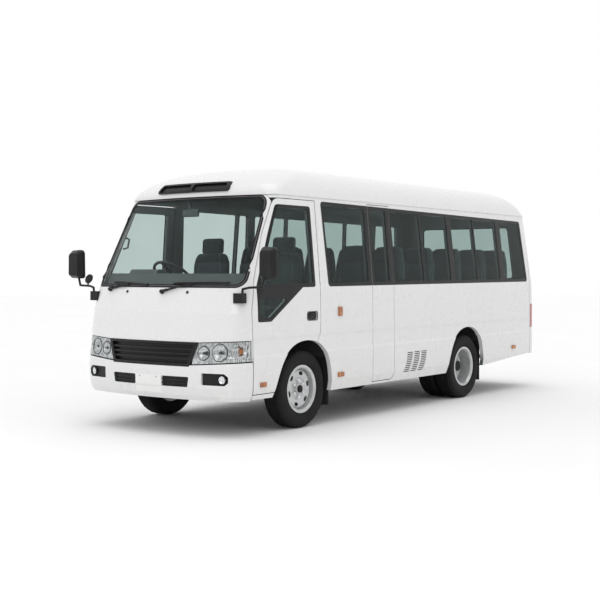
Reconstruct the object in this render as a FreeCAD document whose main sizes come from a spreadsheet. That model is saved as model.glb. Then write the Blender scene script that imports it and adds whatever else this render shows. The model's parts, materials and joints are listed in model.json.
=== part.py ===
import FreeCAD, Part
import math
import os
import Sketcher

from FreeCAD import Placement, Rotation, Vector

# Minibus, right-hand drive, with a front door on each side and twin rear wheels.
# Frame: +X forward, +Y to the vehicle's left, +Z up, millimetres.
# The origin is on the ground, on the centreline, halfway along the body.

doc = FreeCAD.newDocument("Minibus")
sheet = doc.addObject("Spreadsheet::Sheet", "Sizes")

DIMENSIONS = (
    ("body_length", 6255),
    ("body_width", 2035),
    ("wheelbase", 3200),
    ("front_axle_x", 2000),
    ("rear_axle_x", -1200),
    ("nose_bow_radius", 3800),
    ("tail_bow_radius", 12000),
    ("tail_corner_radius", 170),
    ("wall_thickness", 45),
    ("roof_thickness", 35),
    ("panel_gap", 5),
    ("door_gap", 7),
    ("glass_depth", 3),
    ("glass_thickness", 5),
    ("band_depth", 16),
    ("door_front_x", 2828),
    ("door_rear_x", 1788),
    ("door_foot_z", 386),
    ("door_head_z", 2181),
    ("exit_front_x", 870),
    ("exit_rear_x", 446),
    ("exit_foot_z", 352),
    ("tail_joint_x", -2890),
    ("arch_top_z", 843),
    ("front_arch_reach", 560),
    ("rear_arch_reach", 520),
    ("arch_rear_reach", 388),
    ("floor_z", 690),
    ("floor_thickness", 36),
    ("cab_floor_z", 520),
    ("cab_step_z", 384),
    ("bulkhead_x", 2865),
    ("front_house_rear", 416),
    ("rear_house_rear", 402),
    ("seat_outer_y", 902),
    ("passenger_seat_x", 1590),
    ("driver_seat_x", 1640),
    ("rail_offset", 392),
    ("rail_width", 64),
    ("rail_height", 150),
    ("rail_base_z", 490),
    ("spring_offset", 458),
    ("tank_inner_y", 480),
    ("tow_lug_width", 24),
    ("tow_bore_radius", 20),
    ("rear_eye_z", 395),
    ("tow_plate_x", 2965),
    ("tow_plate_z", 432),
    ("plate_bolt_spacing", 210),
    ("plate_bolt_radius", 3.5),
    ("plate_bolt_z", 530),
    ("tyre_radius", 373),
    ("tyre_width", 211),
    ("rim_barrel_radius", 206),
    ("rim_flange_radius", 230),
    ("front_wheel_y", 845),
    ("rear_pair_y", 745),
    ("twin_spacing", 236),
    ("kingpin_y", 760),
    ("kingpin_radius", 16),
    ("steering_arm", 125),
    ("seat_pitch", 645),
    ("first_row_x", 632),
    ("seat_width", 430),
    ("front_seat_width", 470),
    ("seat_y", 450),
    ("steering_wheel_radius", 212),
    ("steering_wheel_x", 2300),
    ("steering_wheel_z", 1452),
    ("steering_wheel_tilt", 40),
    ("mirror_height", 290),
)
for row, (alias, value) in enumerate(DIMENSIONS, start=1):
    sheet.set("A%d" % row, alias.replace("_", " "))
    sheet.set("B%d" % row, str(value))
    sheet.setAlias("B%d" % row, alias)

# Levels of the body, from the sill to the roof's crown: height, half width, how far the
# nose and the tail reach from mid-length, and the radii of the corners.
WALL_LEVELS = (
    ("sill", 330, 993, 3096, -3105, 230),
    ("skirt", 430, 1011, 3116, -3122, 230),
    ("crease_foot", 717, 1017, 3116, -3127.5, 230),
    ("crease_head", 742, 1010, 3112, -3127.5, 230),
    ("shoulder", 892, 1010, 3098, -3127.5, 230),
    ("chest", 1120, 1009, 3062, -3126, 230),
    ("belt", 1330, 1006, 2999, -3117, 230),
    ("drip", 2212, 928, 2510, -2984.5, 110),
)
ROOF_LEVELS = (
    ("eave", 2212, 934, 2522, -2989, 118, 176, 3800),
    ("haunch", 2262, 923, 2522, -2978, 170, 220, 3400),
    ("shell_low", 2340, 890, 2454, -2932, 250, 300, 2800),
    ("shell_mid", 2410, 832, 2330, -2864, 320, 345, 2300),
    ("shell_high", 2468, 732, 2150, -2770, 350, 370, 1900),
    ("crown_low", 2507, 588, 1945, -2662, 320, 335, 1500),
    ("crown_mid", 2530, 400, 1700, -2545, 240, 240, 1000),
    ("crown_high", 2541, 195, 1500, -2460, 130, 130, 500),
    ("crown_top", 2545, 50, 1385, -2400, 40, 40, 160),
)
BUMPER_LEVELS = (
    ("lip", 335, 985, 3085, 230),
    ("chin", 375, 1004, 3108, 230),
    ("face_low", 450, 1013, 3124, 230),
    ("face_high", 600, 1016, 3127.5, 230),
    ("ledge", 655, 1015, 3124, 230),
    ("ledge_top", 700, 1011, 3112, 230),
)
row = len(DIMENSIONS) + 2
for table, columns in (
    (WALL_LEVELS, ("z", "half", "nose", "tail", "nosecorner")),
    (ROOF_LEVELS, ("z", "half", "nose", "tail", "nosecorner", "tailcorner", "bow")),
    (BUMPER_LEVELS, ("z", "half", "nose", "nosecorner")),
):
    for entry in table:
        sheet.set("A%d" % row, entry[0].replace("_", " "))
        for letter, column, value in zip("BCDEFGH", columns, entry[1:]):
            sheet.set("%s%d" % (letter, row), str(value))
            sheet.setAlias("%s%d" % (letter, row), "%s_%s" % (entry[0], column))
        row += 1
doc.recompute()

nodes = []


def dim(alias):
    """A driving dimension, read from the sheet."""
    return float(sheet.get(alias))


def keep(obj, label):
    """Marks an object as a sub-part of the assembly."""
    obj.Label = label
    nodes.append(obj)
    return obj


def feature(label, shape):
    """A sub-part whose shape is cut from the lofted skins."""
    solids = shape.Solids
    obj = doc.addObject("Part::Feature", label)
    obj.Shape = solids[0] if len(solids) == 1 else Part.makeCompound(solids)
    return keep(obj, label)


def joined(*shapes):
    """One shape from several that touch."""
    first, rest = shapes[0], list(shapes[1:])
    return first.fuse(rest).removeSplitter()


# Plan outlines of the body at one height, and the skins lofted through them.

def plan_ring(z, half, nose, tail, nose_corner, tail_corner, bow_nose, bow_tail, inset):
    """Closed plan outline: bowed nose, round corners, straight sides and bowed tail."""
    half -= inset
    nose -= inset
    tail += inset
    nose_corner -= inset
    tail_corner -= inset
    bow_nose -= inset
    bow_tail -= inset
    ends = []
    for reach, corner, bow, way in (
        (nose, nose_corner, bow_nose, 1),
        (-tail, tail_corner, bow_tail, -1),
    ):
        corner_y = half - corner
        middle = reach - bow
        corner_x = middle + math.sqrt((bow - corner) ** 2 - corner_y ** 2)
        angle = math.atan2(corner_y, corner_x - middle)
        blend = Vector(way * (middle + bow * math.cos(angle)), bow * math.sin(angle), z)
        bend = Vector(
            way * (corner_x + corner * math.cos(0.5 * (angle + 0.5 * math.pi))),
            corner_y + corner * math.sin(0.5 * (angle + 0.5 * math.pi)),
            z,
        )
        side = Vector(way * corner_x, half, z)
        ends.append((Vector(way * reach, 0, z), blend, bend, side))
    (tip, blend, bend, side), (tail_tip, tail_blend, tail_bend, tail_side) = ends

    def flip(point):
        return Vector(point.x, -point.y, point.z)

    edges = [
        Part.LineSegment(side, tail_side).toShape(),
        Part.Arc(tail_side, tail_bend, tail_blend).toShape(),
        Part.Arc(tail_blend, tail_tip, flip(tail_blend)).toShape(),
        Part.Arc(flip(tail_blend), flip(tail_bend), flip(tail_side)).toShape(),
        Part.LineSegment(flip(tail_side), flip(side)).toShape(),
        Part.Arc(flip(side), flip(bend), flip(blend)).toShape(),
        Part.Arc(flip(blend), tip, blend).toShape(),
        Part.Arc(blend, bend, side).toShape(),
    ]
    return Part.Wire(edges)


def stacked(rings):
    """Solid between plan outlines: flat sides, ruled nose, tail and corners."""
    faces = [Part.Face(rings[0]), Part.Face(rings[-1])]
    for lower, upper in zip(rings, rings[1:]):
        for number, (low, high) in enumerate(zip(lower.OrderedEdges, upper.OrderedEdges)):
            if number in (0, 4):
                a, b = (vertex.Point for vertex in low.Vertexes)
                c, d = (vertex.Point for vertex in high.Vertexes)
                faces.append(Part.Face(Part.makePolygon([a, b, d, c, a])))
            else:
                faces.append(Part.makeRuledSurface(low, high))
    shell = Part.Shell(faces)
    shell.sewShape()
    solid = Part.Solid(shell)
    if solid.Volume < 0:
        solid.reverse()
    return solid


wall_skins = {}


def wall_skin(inset):
    """Solid inside the walls, from the sill to the drip rail, set in by the inset."""
    if inset not in wall_skins:
        rings = []
        for entry in WALL_LEVELS:
            name = entry[0]
            rings.append(plan_ring(
                dim(name + "_z"), dim(name + "_half"), dim(name + "_nose"), dim(name + "_tail"),
                dim(name + "_nosecorner"), dim("tail_corner_radius"),
                dim("nose_bow_radius"), dim("tail_bow_radius"), inset,
            ))
        wall_skins[inset] = stacked(rings)
    return wall_skins[inset]


def slab(outer, inner, region):
    """The part of a region that lies between two depths below the walls' outer face."""
    return region.common(wall_skin(outer)).cut(wall_skin(inner))


def bumper_skin(inset):
    """Solid inside the front bumper's face."""
    rings = []
    for entry in BUMPER_LEVELS:
        name = entry[0]
        rings.append(plan_ring(
            dim(name + "_z"), dim(name + "_half"), dim(name + "_nose"), dim("crease_foot_tail"),
            dim(name + "_nosecorner"), dim("tail_corner_radius"),
            dim("nose_bow_radius"), dim("tail_bow_radius"), inset,
        ))
    return stacked(rings)


def roof_skin(inset):
    """The dome of the roof, set in square to its own slope."""
    rings = []
    last = len(ROOF_LEVELS) - 1
    for index, entry in enumerate(ROOF_LEVELS):
        name = entry[0]
        below = ROOF_LEVELS[max(index - 1, 0)][0]
        above = ROOF_LEVELS[min(index + 1, last)][0]
        rise = dim(above + "_z") - dim(below + "_z")
        slope = math.atan2(dim(below + "_half") - dim(above + "_half"), rise)
        sink = inset * math.sin(slope)
        tuck = inset * math.cos(slope)
        nose_run = dim(below + "_nose") - dim(above + "_nose")
        nose_slope = math.atan2(nose_run, rise)
        nose_tuck = (inset - sink * math.sin(nose_slope)) / math.cos(nose_slope)
        tail_slope = math.atan2(dim(above + "_tail") - dim(below + "_tail"), rise)
        tail_tuck = (inset - sink * math.sin(tail_slope)) / math.cos(tail_slope)
        if index == 0:
            sink = 0.0
        rings.append(plan_ring(
            dim(name + "_z") - sink,
            dim(name + "_half") - tuck,
            dim(name + "_nose") - nose_tuck,
            dim(name + "_tail") + tail_tuck,
            dim(name + "_nosecorner") - 0.6 * tuck,
            dim(name + "_tailcorner") - 0.6 * tuck,
            dim(name + "_bow"), dim("tail_bow_radius"), 0.0,
        ))
    return Part.makeLoft(rings, True, False)


# Outlines that cut the panels, and the prisms raised from them.

def rounded_outline(points, radii, plane):
    """Closed wire through the points, its corners rounded, in the XZ or the YZ plane."""
    def lift(point):
        if plane == "XZ":
            return Vector(point[0], 0, point[1])
        return Vector(0, point[0], point[1])

    count = len(points)
    if not isinstance(radii, (list, tuple)):
        radii = [radii] * count
    starts, arcs = [], []
    for index in range(count):
        corner = lift(points[index])
        before = lift(points[index - 1])
        after = lift(points[(index + 1) % count])
        radius = radii[index]
        to_before = (before - corner).normalize()
        to_after = (after - corner).normalize()
        if radius <= 0:
            starts.append((corner, corner))
            arcs.append(None)
            continue
        half = 0.5 * to_before.getAngle(to_after)
        run = radius / math.tan(half)
        first = corner + to_before * run
        second = corner + to_after * run
        middle_way = (to_before + to_after).normalize()
        middle = corner + middle_way * (radius / math.sin(half) - radius)
        starts.append((first, second))
        arcs.append(Part.Arc(first, middle, second).toShape())
    edges = []
    for index in range(count):
        if arcs[index] is not None:
            edges.append(arcs[index])
        leave = starts[index][1]
        reach = starts[(index + 1) % count][0]
        if leave.distanceToPoint(reach) > 0.001:
            edges.append(Part.LineSegment(leave, reach).toShape())
    return Part.Wire(edges)


def side_prism(points, side, radii=0, inner=600, outer=1150):
    """Prism square to one side of the body from an outline in X and Z."""
    wire = rounded_outline(points, radii, "XZ")
    face = Part.Face(wire)
    face.translate(Vector(0, side * inner, 0))
    return face.extrude(Vector(0, side * (outer - inner), 0))


def end_prism(points, start, end, radii=0):
    """Prism along X from an outline in Y and Z."""
    face = Part.Face(rounded_outline(points, radii, "YZ"))
    face.translate(Vector(start, 0, 0))
    return face.extrude(Vector(end - start, 0, 0))


def box(x0, x1, y0, y1, z0, z1):
    """Plain cutting box between two corners."""
    return Part.makeBox(x1 - x0, y1 - y0, z1 - z0, Vector(x0, y0, z0))


def rod(start, end, radius):
    """Round bar between two points."""
    start, end = Vector(*start), Vector(*end)
    way = end - start
    return Part.makeCylinder(radius, way.Length, start, way)


def arch_prism(axle_x, side, inner=600, outer=1150):
    """Wheel arch: long sweep ahead of the wheel, tighter curve behind it."""
    front_reach, rear_reach = dim("front_arch_reach"), dim("arch_rear_reach")
    if axle_x < 0:
        front_reach = dim("rear_arch_reach")
    foot = dim("sill_z") - 60
    top = dim("arch_top_z")
    points = (
        Vector(axle_x + front_reach + 6, 0, foot),
        Vector(axle_x + 0.82 * front_reach, 0, foot + 0.42 * (top - foot)),
        Vector(axle_x + 0.54 * front_reach, 0, foot + 0.84 * (top - foot)),
        Vector(axle_x - 10, 0, top),
        Vector(axle_x - 0.72 * rear_reach, 0, foot + 0.83 * (top - foot)),
        Vector(axle_x - 0.97 * rear_reach, 0, foot + 0.5 * (top - foot)),
        Vector(axle_x - rear_reach, 0, foot),
    )
    curve = Part.BSplineCurve()
    curve.interpolate(list(points))
    wire = Part.Wire([curve.toShape(), Part.LineSegment(points[-1], points[0]).toShape()])
    face = Part.Face(wire)
    face.translate(Vector(0, side * inner, 0))
    return face.extrude(Vector(0, side * (outer - inner), 0))


ARCHES = (dim("front_axle_x"), dim("rear_axle_x"))

# Window band: heights at its front and rear ends, and the panes between its pillars.
BAND_FRONT_X = 1652
BAND_REAR_X = -2828
BAND_FOOT_FRONT = 1349
BAND_FOOT_REAR = 1366
BAND_HEAD_FRONT = 2179
BAND_HEAD_REAR = 2140
BAND_FRAME = 36
BAND_LEAN_FRONT = 46
BAND_LEAN_REAR = 112
# Pillars and dividers of the band: front and rear edge at the foot, and how far each
# leans forward by the head.
PILLARS = (
    (-200, -228, 42),
    (-817, -924, 40),
    (-1470, -1498, 55),
    (-2070, -2187, 45),
)


def band_foot(x):
    """Height of the band's lower edge."""
    share = (BAND_FRONT_X - x) / (BAND_FRONT_X - BAND_REAR_X)
    return BAND_FOOT_FRONT + share * (BAND_FOOT_REAR - BAND_FOOT_FRONT)


def band_head(x):
    """Height of the band's upper edge."""
    share = (BAND_FRONT_X - x) / (BAND_FRONT_X - BAND_REAR_X)
    return BAND_HEAD_FRONT + share * (BAND_HEAD_REAR - BAND_HEAD_FRONT)


def band_piece(front, rear, front_lean, rear_lean, margin=0.0):
    """Four corners of a stretch of the band, lower and upper edges set in by a margin."""
    return (
        (front, band_foot(front) + margin),
        (front + front_lean, band_head(front) - margin),
        (rear + rear_lean, band_head(rear) - margin),
        (rear, band_foot(rear) + margin),
    )


def pane_prism(stretch, side):
    """Prism of one pane between the band's rails and pillars."""
    return side_prism(band_piece(*stretch, BAND_FRAME), side, 22)


def pane_stretches(with_exit):
    """Front and rear edge with their leans, for each pane of the band."""
    edges = [(BAND_FRONT_X - BAND_FRAME, BAND_LEAN_FRONT)]
    if with_exit:
        edges += [(dim("exit_front_x") + 62, 0), (dim("exit_rear_x") - 44, 22)]
    else:
        edges += [(755, 0), (727, 0), (518, 45), (402, 45)]
    if with_exit:
        stretches = [(edges[0][0], edges[1][0], edges[0][1], edges[1][1])]
        front = (edges[2][0], edges[2][1])
    else:
        stretches = [
            (edges[0][0], edges[1][0], edges[0][1], edges[1][1]),
            (edges[2][0], edges[3][0], edges[2][1], edges[3][1]),
        ]
        front = edges[4]
    for head, tail, lean in PILLARS:
        stretches.append((front[0], head, front[1], lean))
        front = (tail, lean)
    rear = BAND_REAR_X + BAND_FRAME
    stretches.append((front[0], rear, front[1], BAND_LEAN_REAR))
    return stretches


def exit_outline(gap):
    """Side exit door: straight shut lines and a rounded lower rear corner."""
    front, rear = dim("exit_front_x") - gap, dim("exit_rear_x") + gap
    foot, head = dim("exit_foot_z") + gap, dim("door_head_z") + 10 - gap
    return ((front, foot), (front, head), (rear, head), (rear, foot)), (4, 4, 4, 90 - gap)


def door_outline(gap):
    """Front door: shut line along the screen pillar, rear edge curving into the arch."""
    front, rear = dim("door_front_x") - gap, dim("door_rear_x") + gap
    foot, head = dim("door_foot_z") + gap, dim("door_head_z") - gap
    points = (
        (front, foot), (front, 1135), (2773 - gap, 1400), (2588 - gap, 1834), (2404 - gap, head),
        (rear, head), (rear, 920), (rear + 62, 800), (rear + 62, foot),
    )
    return points, (8, 200, 300, 900, 70, 12, 90, 0, 0)


DOOR_WINDOW = ((2711, 1386), (2504, 1834), (2387, 2090), (1905, 2090), (1899, 1384))
KERB_WINDOW = ((2723, 1245), (2723, 1075), (2566, 1075), (2296, 1245))


def door_frame_outline():
    """Black surround of the door glass with the kerb window below it."""
    points = (
        (2757, 1038), (2757, 1352), (2541, 1834), (2402, 2120), (1872, 2120), (1866, 1347),
        (2071, 1347), (2562, 1038),
    )
    return points, (24, 40, 600, 50, 30, 30, 20, 36)


def wall_openings(side):
    """Everything cut through the side walls."""
    cuts = [arch_prism(x, side) for x in ARCHES]
    for stretch in pane_stretches(side > 0):
        cuts.append(pane_prism(stretch, side))
    points, radii = door_outline(0)
    cuts.append(side_prism(points, side, radii))
    if side > 0:
        points, radii = exit_outline(0)
        cuts.append(side_prism(points, side, radii))
    return cuts


def band_prism(side, front=BAND_FRONT_X, front_lean=BAND_LEAN_FRONT, rear=BAND_REAR_X,
               rear_lean=BAND_LEAN_REAR):
    """The whole black band as one prism."""
    return side_prism(band_piece(front, rear, front_lean, rear_lean), side, 40)


def side_region(side):
    """Side wall's stretch: from the front door to the tail joint, with its rising foot."""
    foot = dim("sill_z")
    tail = dim("tail_joint_x") + dim("panel_gap")
    head = dim("drip_z")
    arch = dim("rear_axle_x") - dim("arch_rear_reach")
    front, rail = dim("door_front_x") - 2, dim("door_head_z")
    points = (
        (front, foot + 18), (front, dim("door_foot_z")), (1900, dim("door_foot_z")),
        (1900, rail), (2420, rail), (2420, head), (tail, head),
        (tail, 440), (-2450, 418), (arch, 358), (arch + 60, foot), (1500, foot),
    )
    return side_prism(points, side)


VENT_COLUMNS = ((182, 66), (34, -82), (-114, -230))
VENT_ROWS = 11
VENT_HEAD_Z = 617
VENT_PITCH = 20
VENT_SLOT = 10
VENT_LEAN = 76
VENT_DEPTH = 30


def vent_slots():
    """Three columns of blind slots in the left wall that bend forward at the foot."""
    slots = []
    for number in range(VENT_ROWS):
        shift = VENT_LEAN * (number / (VENT_ROWS - 1)) ** 2
        z = VENT_HEAD_Z - number * VENT_PITCH
        for front, rear in VENT_COLUMNS:
            slots.append(box(rear + shift, front + shift, 1000 - VENT_DEPTH, 1100,
                             z - VENT_SLOT / 2, z + VENT_SLOT / 2))
    return slots


def make_side_walls():
    """Two side walls with the window band's rebate and every opening cut."""
    for side, name in ((1, "left"), (-1, "right")):
        wall = slab(0, dim("wall_thickness"), side_region(side))
        wall = wall.cut(wall_openings(side))
        wall = wall.cut(slab(-2, dim("band_depth"), band_prism(side)))
        if side > 0:
            wall = wall.cut(vent_slots())
        solids = sorted(wall.Solids, key=lambda solid: solid.Volume, reverse=True)
        feature("side_wall_" + name, Part.makeCompound(
            [solid for solid in solids if solid.Volume > 200000]))


def make_window_frames():
    """Black frames of the window band, one ring of pillars and rails on each side."""
    rings = []
    for side in (1, -1):
        ring = slab(0, dim("band_depth"), band_prism(side))
        cuts = [pane_prism(stretch, side) for stretch in pane_stretches(side > 0)]
        if side > 0:
            points, radii = exit_outline(0)
            cuts.append(side_prism(points, side, radii))
        rings += [solid for solid in ring.cut(cuts).Solids if solid.Volume > 20000]
    feature("window_frames", Part.makeCompound(rings))


def make_side_glass():
    """Flush panes seated in the band's frames."""
    depth = dim("glass_depth")
    panes = []
    for side in (1, -1):
        for stretch in pane_stretches(side > 0):
            panes += slab(depth, depth + dim("glass_thickness"), pane_prism(stretch, side)).Solids
    feature("side_glass", Part.makeCompound(panes))


# Moving panels.

def door_leaf(outline, side, cuts):
    """Door as thick as the wall: an outer skin and an inner panel set in behind it."""
    flange = 12
    skin_points, skin_radii = outline(dim("door_gap"))
    panel_points, panel_radii = outline(dim("door_gap") + 16)
    skin = slab(0, flange, side_prism(skin_points, side, skin_radii))
    inner = slab(flange, dim("wall_thickness"), side_prism(panel_points, side, panel_radii))
    return joined(skin, inner).cut(cuts)


def make_front_doors():
    """Hinged front doors with their black surrounds and two panes each."""
    depth = dim("glass_depth")
    for side, name in ((1, "left"), (-1, "right")):
        arch = arch_prism(dim("front_axle_x"), side)
        points, radii = door_frame_outline()
        surround = side_prism(points, side, radii)
        panes = [side_prism(DOOR_WINDOW, side, (26, 400, 30, 22, 22)),
                 side_prism(KERB_WINDOW, side, 14)]
        leaf = door_leaf(door_outline, side, [arch] + panes)
        leaf = leaf.cut(slab(-2, dim("band_depth"), surround))
        leaf = leaf.cut(handle_prism(side))
        feature("front_door_" + name, biggest(leaf))
        frame = slab(0, dim("band_depth"), surround).cut(panes)
        feature("door_frame_" + name, frame)
        glass = [biggest(slab(depth, depth + dim("glass_thickness"), pane)) for pane in panes]
        feature("door_glass_" + name, Part.makeCompound(glass))


def biggest(shape):
    """The largest solid of a shape."""
    return max(shape.Solids, key=lambda solid: solid.Volume)


def handle_prism(side):
    """Pocket behind the door handle, blind, from the outside."""
    points = ((2005, 1035), (2005, 1108), (1848, 1108), (1848, 1035))
    return side_prism(points, side, 28, inner=988)


def make_exit_door():
    """Narrow hinged exit door in the left wall with its own framed pane."""
    depth = dim("glass_depth")
    gap = dim("door_gap")
    front, rear = dim("exit_front_x") - gap, dim("exit_rear_x") + gap
    frame_prism = side_prism((
        (front - 1, band_foot(front)), (front - 1, band_head(front)),
        (rear + 1, band_head(rear)), (rear + 1, band_foot(rear)),
    ), 1, 3)
    pane = side_prism((
        (front - 44, band_foot(front) + BAND_FRAME), (front - 44, band_head(front) - BAND_FRAME),
        (rear + 72, band_head(rear) - BAND_FRAME), (rear + 72, band_foot(rear) + BAND_FRAME),
    ), 1, 22)
    leaf = door_leaf(exit_outline, 1, [pane])
    ring = slab(0, dim("band_depth"), frame_prism)
    feature("exit_door", biggest(leaf.cut(ring)))
    feature("exit_door_frame", ring.cut(pane))
    feature("exit_door_glass", slab(depth, depth + dim("glass_thickness"), pane))


# Nose, tail and roof.

SCREEN_CORNERS = (
    (923, 1362), (873, 1974), (848, 2194), (-848, 2194), (-873, 1974), (-923, 1362),
)
SCREEN_RADII = (70, 900, 88, 88, 900, 70)
GRILLE_OUTER = ((566, 857), (-566, 857), (-482, 640), (482, 640))
GRILLE_INNER = ((522, 836), (-522, 836), (-455, 664), (455, 664))
LAMP_LEFT = ((570, 857), (489, 652), (1060, 691), (1060, 880))
LAMP_REAR_X = 2838
SEAM = 3


def mirrored(points):
    """An outline in Y and Z moved to the right-hand side."""
    return tuple((-y, z) for y, z in points)


def grown(points, amount):
    """A convex outline moved outward from its own middle."""
    middle_a = sum(point[0] for point in points) / len(points)
    middle_b = sum(point[1] for point in points) / len(points)
    moved = []
    for a, b in points:
        moved.append((a + amount * math.copysign(1, a - middle_a),
                      b + amount * math.copysign(1, b - middle_b)))
    return tuple(moved)


def make_nose_panel():
    """Front panel with its screen opening, pillars, and lamp and grille openings."""
    front = dim("door_front_x")
    wall = slab(0, dim("wall_thickness"), box(1900, 3200, -1100, 1100, 693, dim("drip_z")))
    cuts = []
    for side in (1, -1):
        points, radii = door_outline(0)
        cuts.append(side_prism(points, side, radii))
        cuts.append(side_prism(((front, 330), (front, 1135), (1700, 1135), (1700, 330)), side))
        cuts.append(side_prism(((2424, 1350), (2424, 2300), (1700, 2300), (1700, 1350)), side))
    for outline in (LAMP_LEFT, mirrored(LAMP_LEFT), GRILLE_OUTER):
        cuts.append(end_prism(outline, LAMP_REAR_X, 3300))
        cuts.append(slab(-2, 10, end_prism(grown(outline, SEAM), LAMP_REAR_X - SEAM, 3300)))
    cuts.append(end_prism(SCREEN_CORNERS, 2200, 3300, SCREEN_RADII))
    feature("nose_panel", biggest(wall.cut(cuts)))


def make_screens():
    """Windscreen and rear window, each a little below the skin."""
    depth = dim("glass_depth")
    screen = end_prism(SCREEN_CORNERS, 2200, 3300, SCREEN_RADII)
    feature("windscreen", biggest(slab(depth, depth + 6, screen)))
    window = end_prism(rear_window_outline(), -3300, -2600, 60)
    feature("rear_window", biggest(slab(depth, depth + 6, window)))


def rear_window_outline():
    """Rear window in Y and Z."""
    return ((690, 1395), (650, 2085), (-650, 2085), (-690, 1395))


def rear_lamp_outline():
    """Upright lamp at the tail's left corner, in Y and Z."""
    return ((875, 773), (875, 1078), (1060, 1078), (1060, 773))


def make_rear_panel():
    """Tail wall with its window, lamp pockets and rising foot."""
    tail = dim("tail_joint_x")
    head = dim("drip_z")
    region = side_prism(((tail, 556), (tail, head), (-3200, head), (-3200, 588)), 1, 0, -1100, 1100)
    wall = slab(0, dim("wall_thickness"), region)
    cuts = [end_prism(rear_window_outline(), -3300, -2600, 60)]
    for outline in (rear_lamp_outline(), mirrored(rear_lamp_outline())):
        cuts.append(slab(-2, 30, end_prism(outline, -3300, -2905)))
    feature("rear_panel", biggest(wall.cut(cuts)))


def make_rear_lamps():
    """Rear lamps seated in their pockets, a little proud."""
    lamps = []
    for outline in (rear_lamp_outline(), mirrored(rear_lamp_outline())):
        prism = end_prism(grown(outline, -2), -3300, -2907, 8)
        lamps += slab(0, 30, prism).Solids
    feature("rear_lamps", Part.makeCompound(lamps))


def make_roof():
    """Roof dome, hollow below, and the air scoop on its brow."""
    outer = roof_skin(0)
    shell = outer.cut(roof_skin(dim("roof_thickness")))
    feature("roof_panel", biggest(shell))
    proud = roof_skin(-22)
    brow = end_prism(((462, 2254), (428, 2352), (-428, 2352), (-462, 2254)), 1900, 2700, 26)
    scoop = proud.cut(outer).common(brow)
    backing = outer.copy()
    backing.translate(Vector(5, 0, 0))
    mouths = []
    for side in (1, -1):
        mouth = ((side * 20, 2268), (side * 20, 2336), (side * 408, 2336), (side * 432, 2268))
        mouths.append(end_prism(mouth, 2235, 2700, 14).cut(backing))
    feature("roof_intake", biggest(scoop.cut(mouths)))


def make_front_bumper():
    """Bumper face with its intakes and fog lamp recesses."""
    shell = bumper_skin(0).cut(bumper_skin(32))
    front = dim("door_front_x") + dim("panel_gap")
    top = ((1100, 688), (489, 649), (478, 637), (-478, 637), (-489, 649), (-1100, 688),
           (-1100, 300), (1100, 300))
    shell = shell.common(end_prism(top, front, 3300))
    cuts = [end_prism(outline, 2900, 3300, 12) for outline in bumper_mouths()]
    for side in (1, -1):
        y, z = side * dim("plate_bolt_spacing") / 2, dim("plate_bolt_z")
        cuts.append(rod((3000, y, z), (3200, y, z), dim("plate_bolt_radius")))
    feature("front_bumper", biggest(shell.cut(cuts)))


FOG_INNER_Y = 611
FOG_LAMP_Y = 817
FOG_LAMP_Z = 530


def bumper_mouths():
    """Two lower intakes and two fog lamp recesses, in Y and Z."""
    intake = ((165, 452), (165, 545), (478, 545), (462, 452))
    fog = ((FOG_INNER_Y, 478), (FOG_INNER_Y, 585), (846, 585), (880, 556), (880, 506), (846, 478))
    return (intake, mirrored(intake), fog, mirrored(fog))


def make_bumper_inserts():
    """Black slatted inserts behind the bumper's openings."""
    inserts = []
    for outline in bumper_mouths():
        back = bumper_skin(22).cut(bumper_skin(30)).common(end_prism(outline, 2900, 3300, 12))
        low = min(point[1] for point in outline)
        high = max(point[1] for point in outline)
        y0 = min(point[0] for point in outline)
        y1 = max(point[0] for point in outline)
        slats = []
        for share in (0.33, 0.67):
            z = low + share * (high - low)
            if max(abs(y0), abs(y1)) < FOG_INNER_Y:
                bar = box(2900, 3200, y0, y1, z - 6, z + 6)
                bar = bar.common(end_prism(outline, 2900, 3300, 12))
                slats.append(bumper_skin(8).cut(bumper_skin(23)).common(bar))
        inserts.append(biggest(back.fuse(slats)) if slats else biggest(back))
    feature("bumper_inserts", Part.makeCompound(inserts))


def make_front_lamps():
    """Headlamps wrapped round the corners and round fog lamps in the bumper."""
    solids = []
    for outline in (LAMP_LEFT, mirrored(LAMP_LEFT)):
        solids.append(biggest(slab(2, 44, end_prism(outline, LAMP_REAR_X, 3300))))
    for side in (1, -1):
        y = side * FOG_LAMP_Y
        fog = rod((2900, y, FOG_LAMP_Z), (3200, y, FOG_LAMP_Z), 40)
        solids.append(biggest(fog.common(bumper_skin(7)).cut(bumper_skin(22))))
    feature("front_lamps", Part.makeCompound(solids))


def make_grille():
    """Black grille: a sloped frame, three slats and a closed back."""
    frame_prism = end_prism(GRILLE_OUTER, 2900, 3300, (10, 10, 16, 16))
    hollow = end_prism(GRILLE_INNER, 2900, 3300, 8)
    frame = slab(-4, 40, frame_prism).cut(hollow)
    back = slab(34, 40, hollow)
    slats = []
    low, high = GRILLE_INNER[2][1], GRILLE_INNER[0][1]
    for number in (1, 2, 3):
        z = low + number * (high - low) / 4
        bar = box(2900, 3300, -600, 600, z - 9, z + 9)
        slats.append(slab(4, 35, bar).common(hollow))
    feature("grille", biggest(frame.fuse([back] + slats)))


def make_rear_bumper():
    """Tail bumper with its turned-up corners."""
    tail = dim("tail_joint_x")
    region = side_prism(((tail, 434), (tail, 556), (-3200, 588), (-3200, 468), (-3060, 430)),
                        1, 0, -1100, 1100)
    feature("rear_bumper", biggest(slab(0, 40, region)))


def make_side_lamps():
    """Amber side lamps and reflectors along each wall."""
    places = (
        (1465, 1103, 62, 92), (1456, 478, 96, 46), (-2406, 540, 96, 46),
    )
    solids = []
    for side in (1, -1):
        for x, z, length, height in places:
            outline = (
                (x - length / 2, z - height / 2), (x + length / 2, z - height / 2),
                (x + length / 2, z + height / 2), (x - length / 2, z + height / 2),
            )
            solids += slab(-14, 0, side_prism(outline, side, 8)).Solids
    feature("side_lamps", Part.makeCompound(solids))


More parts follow.
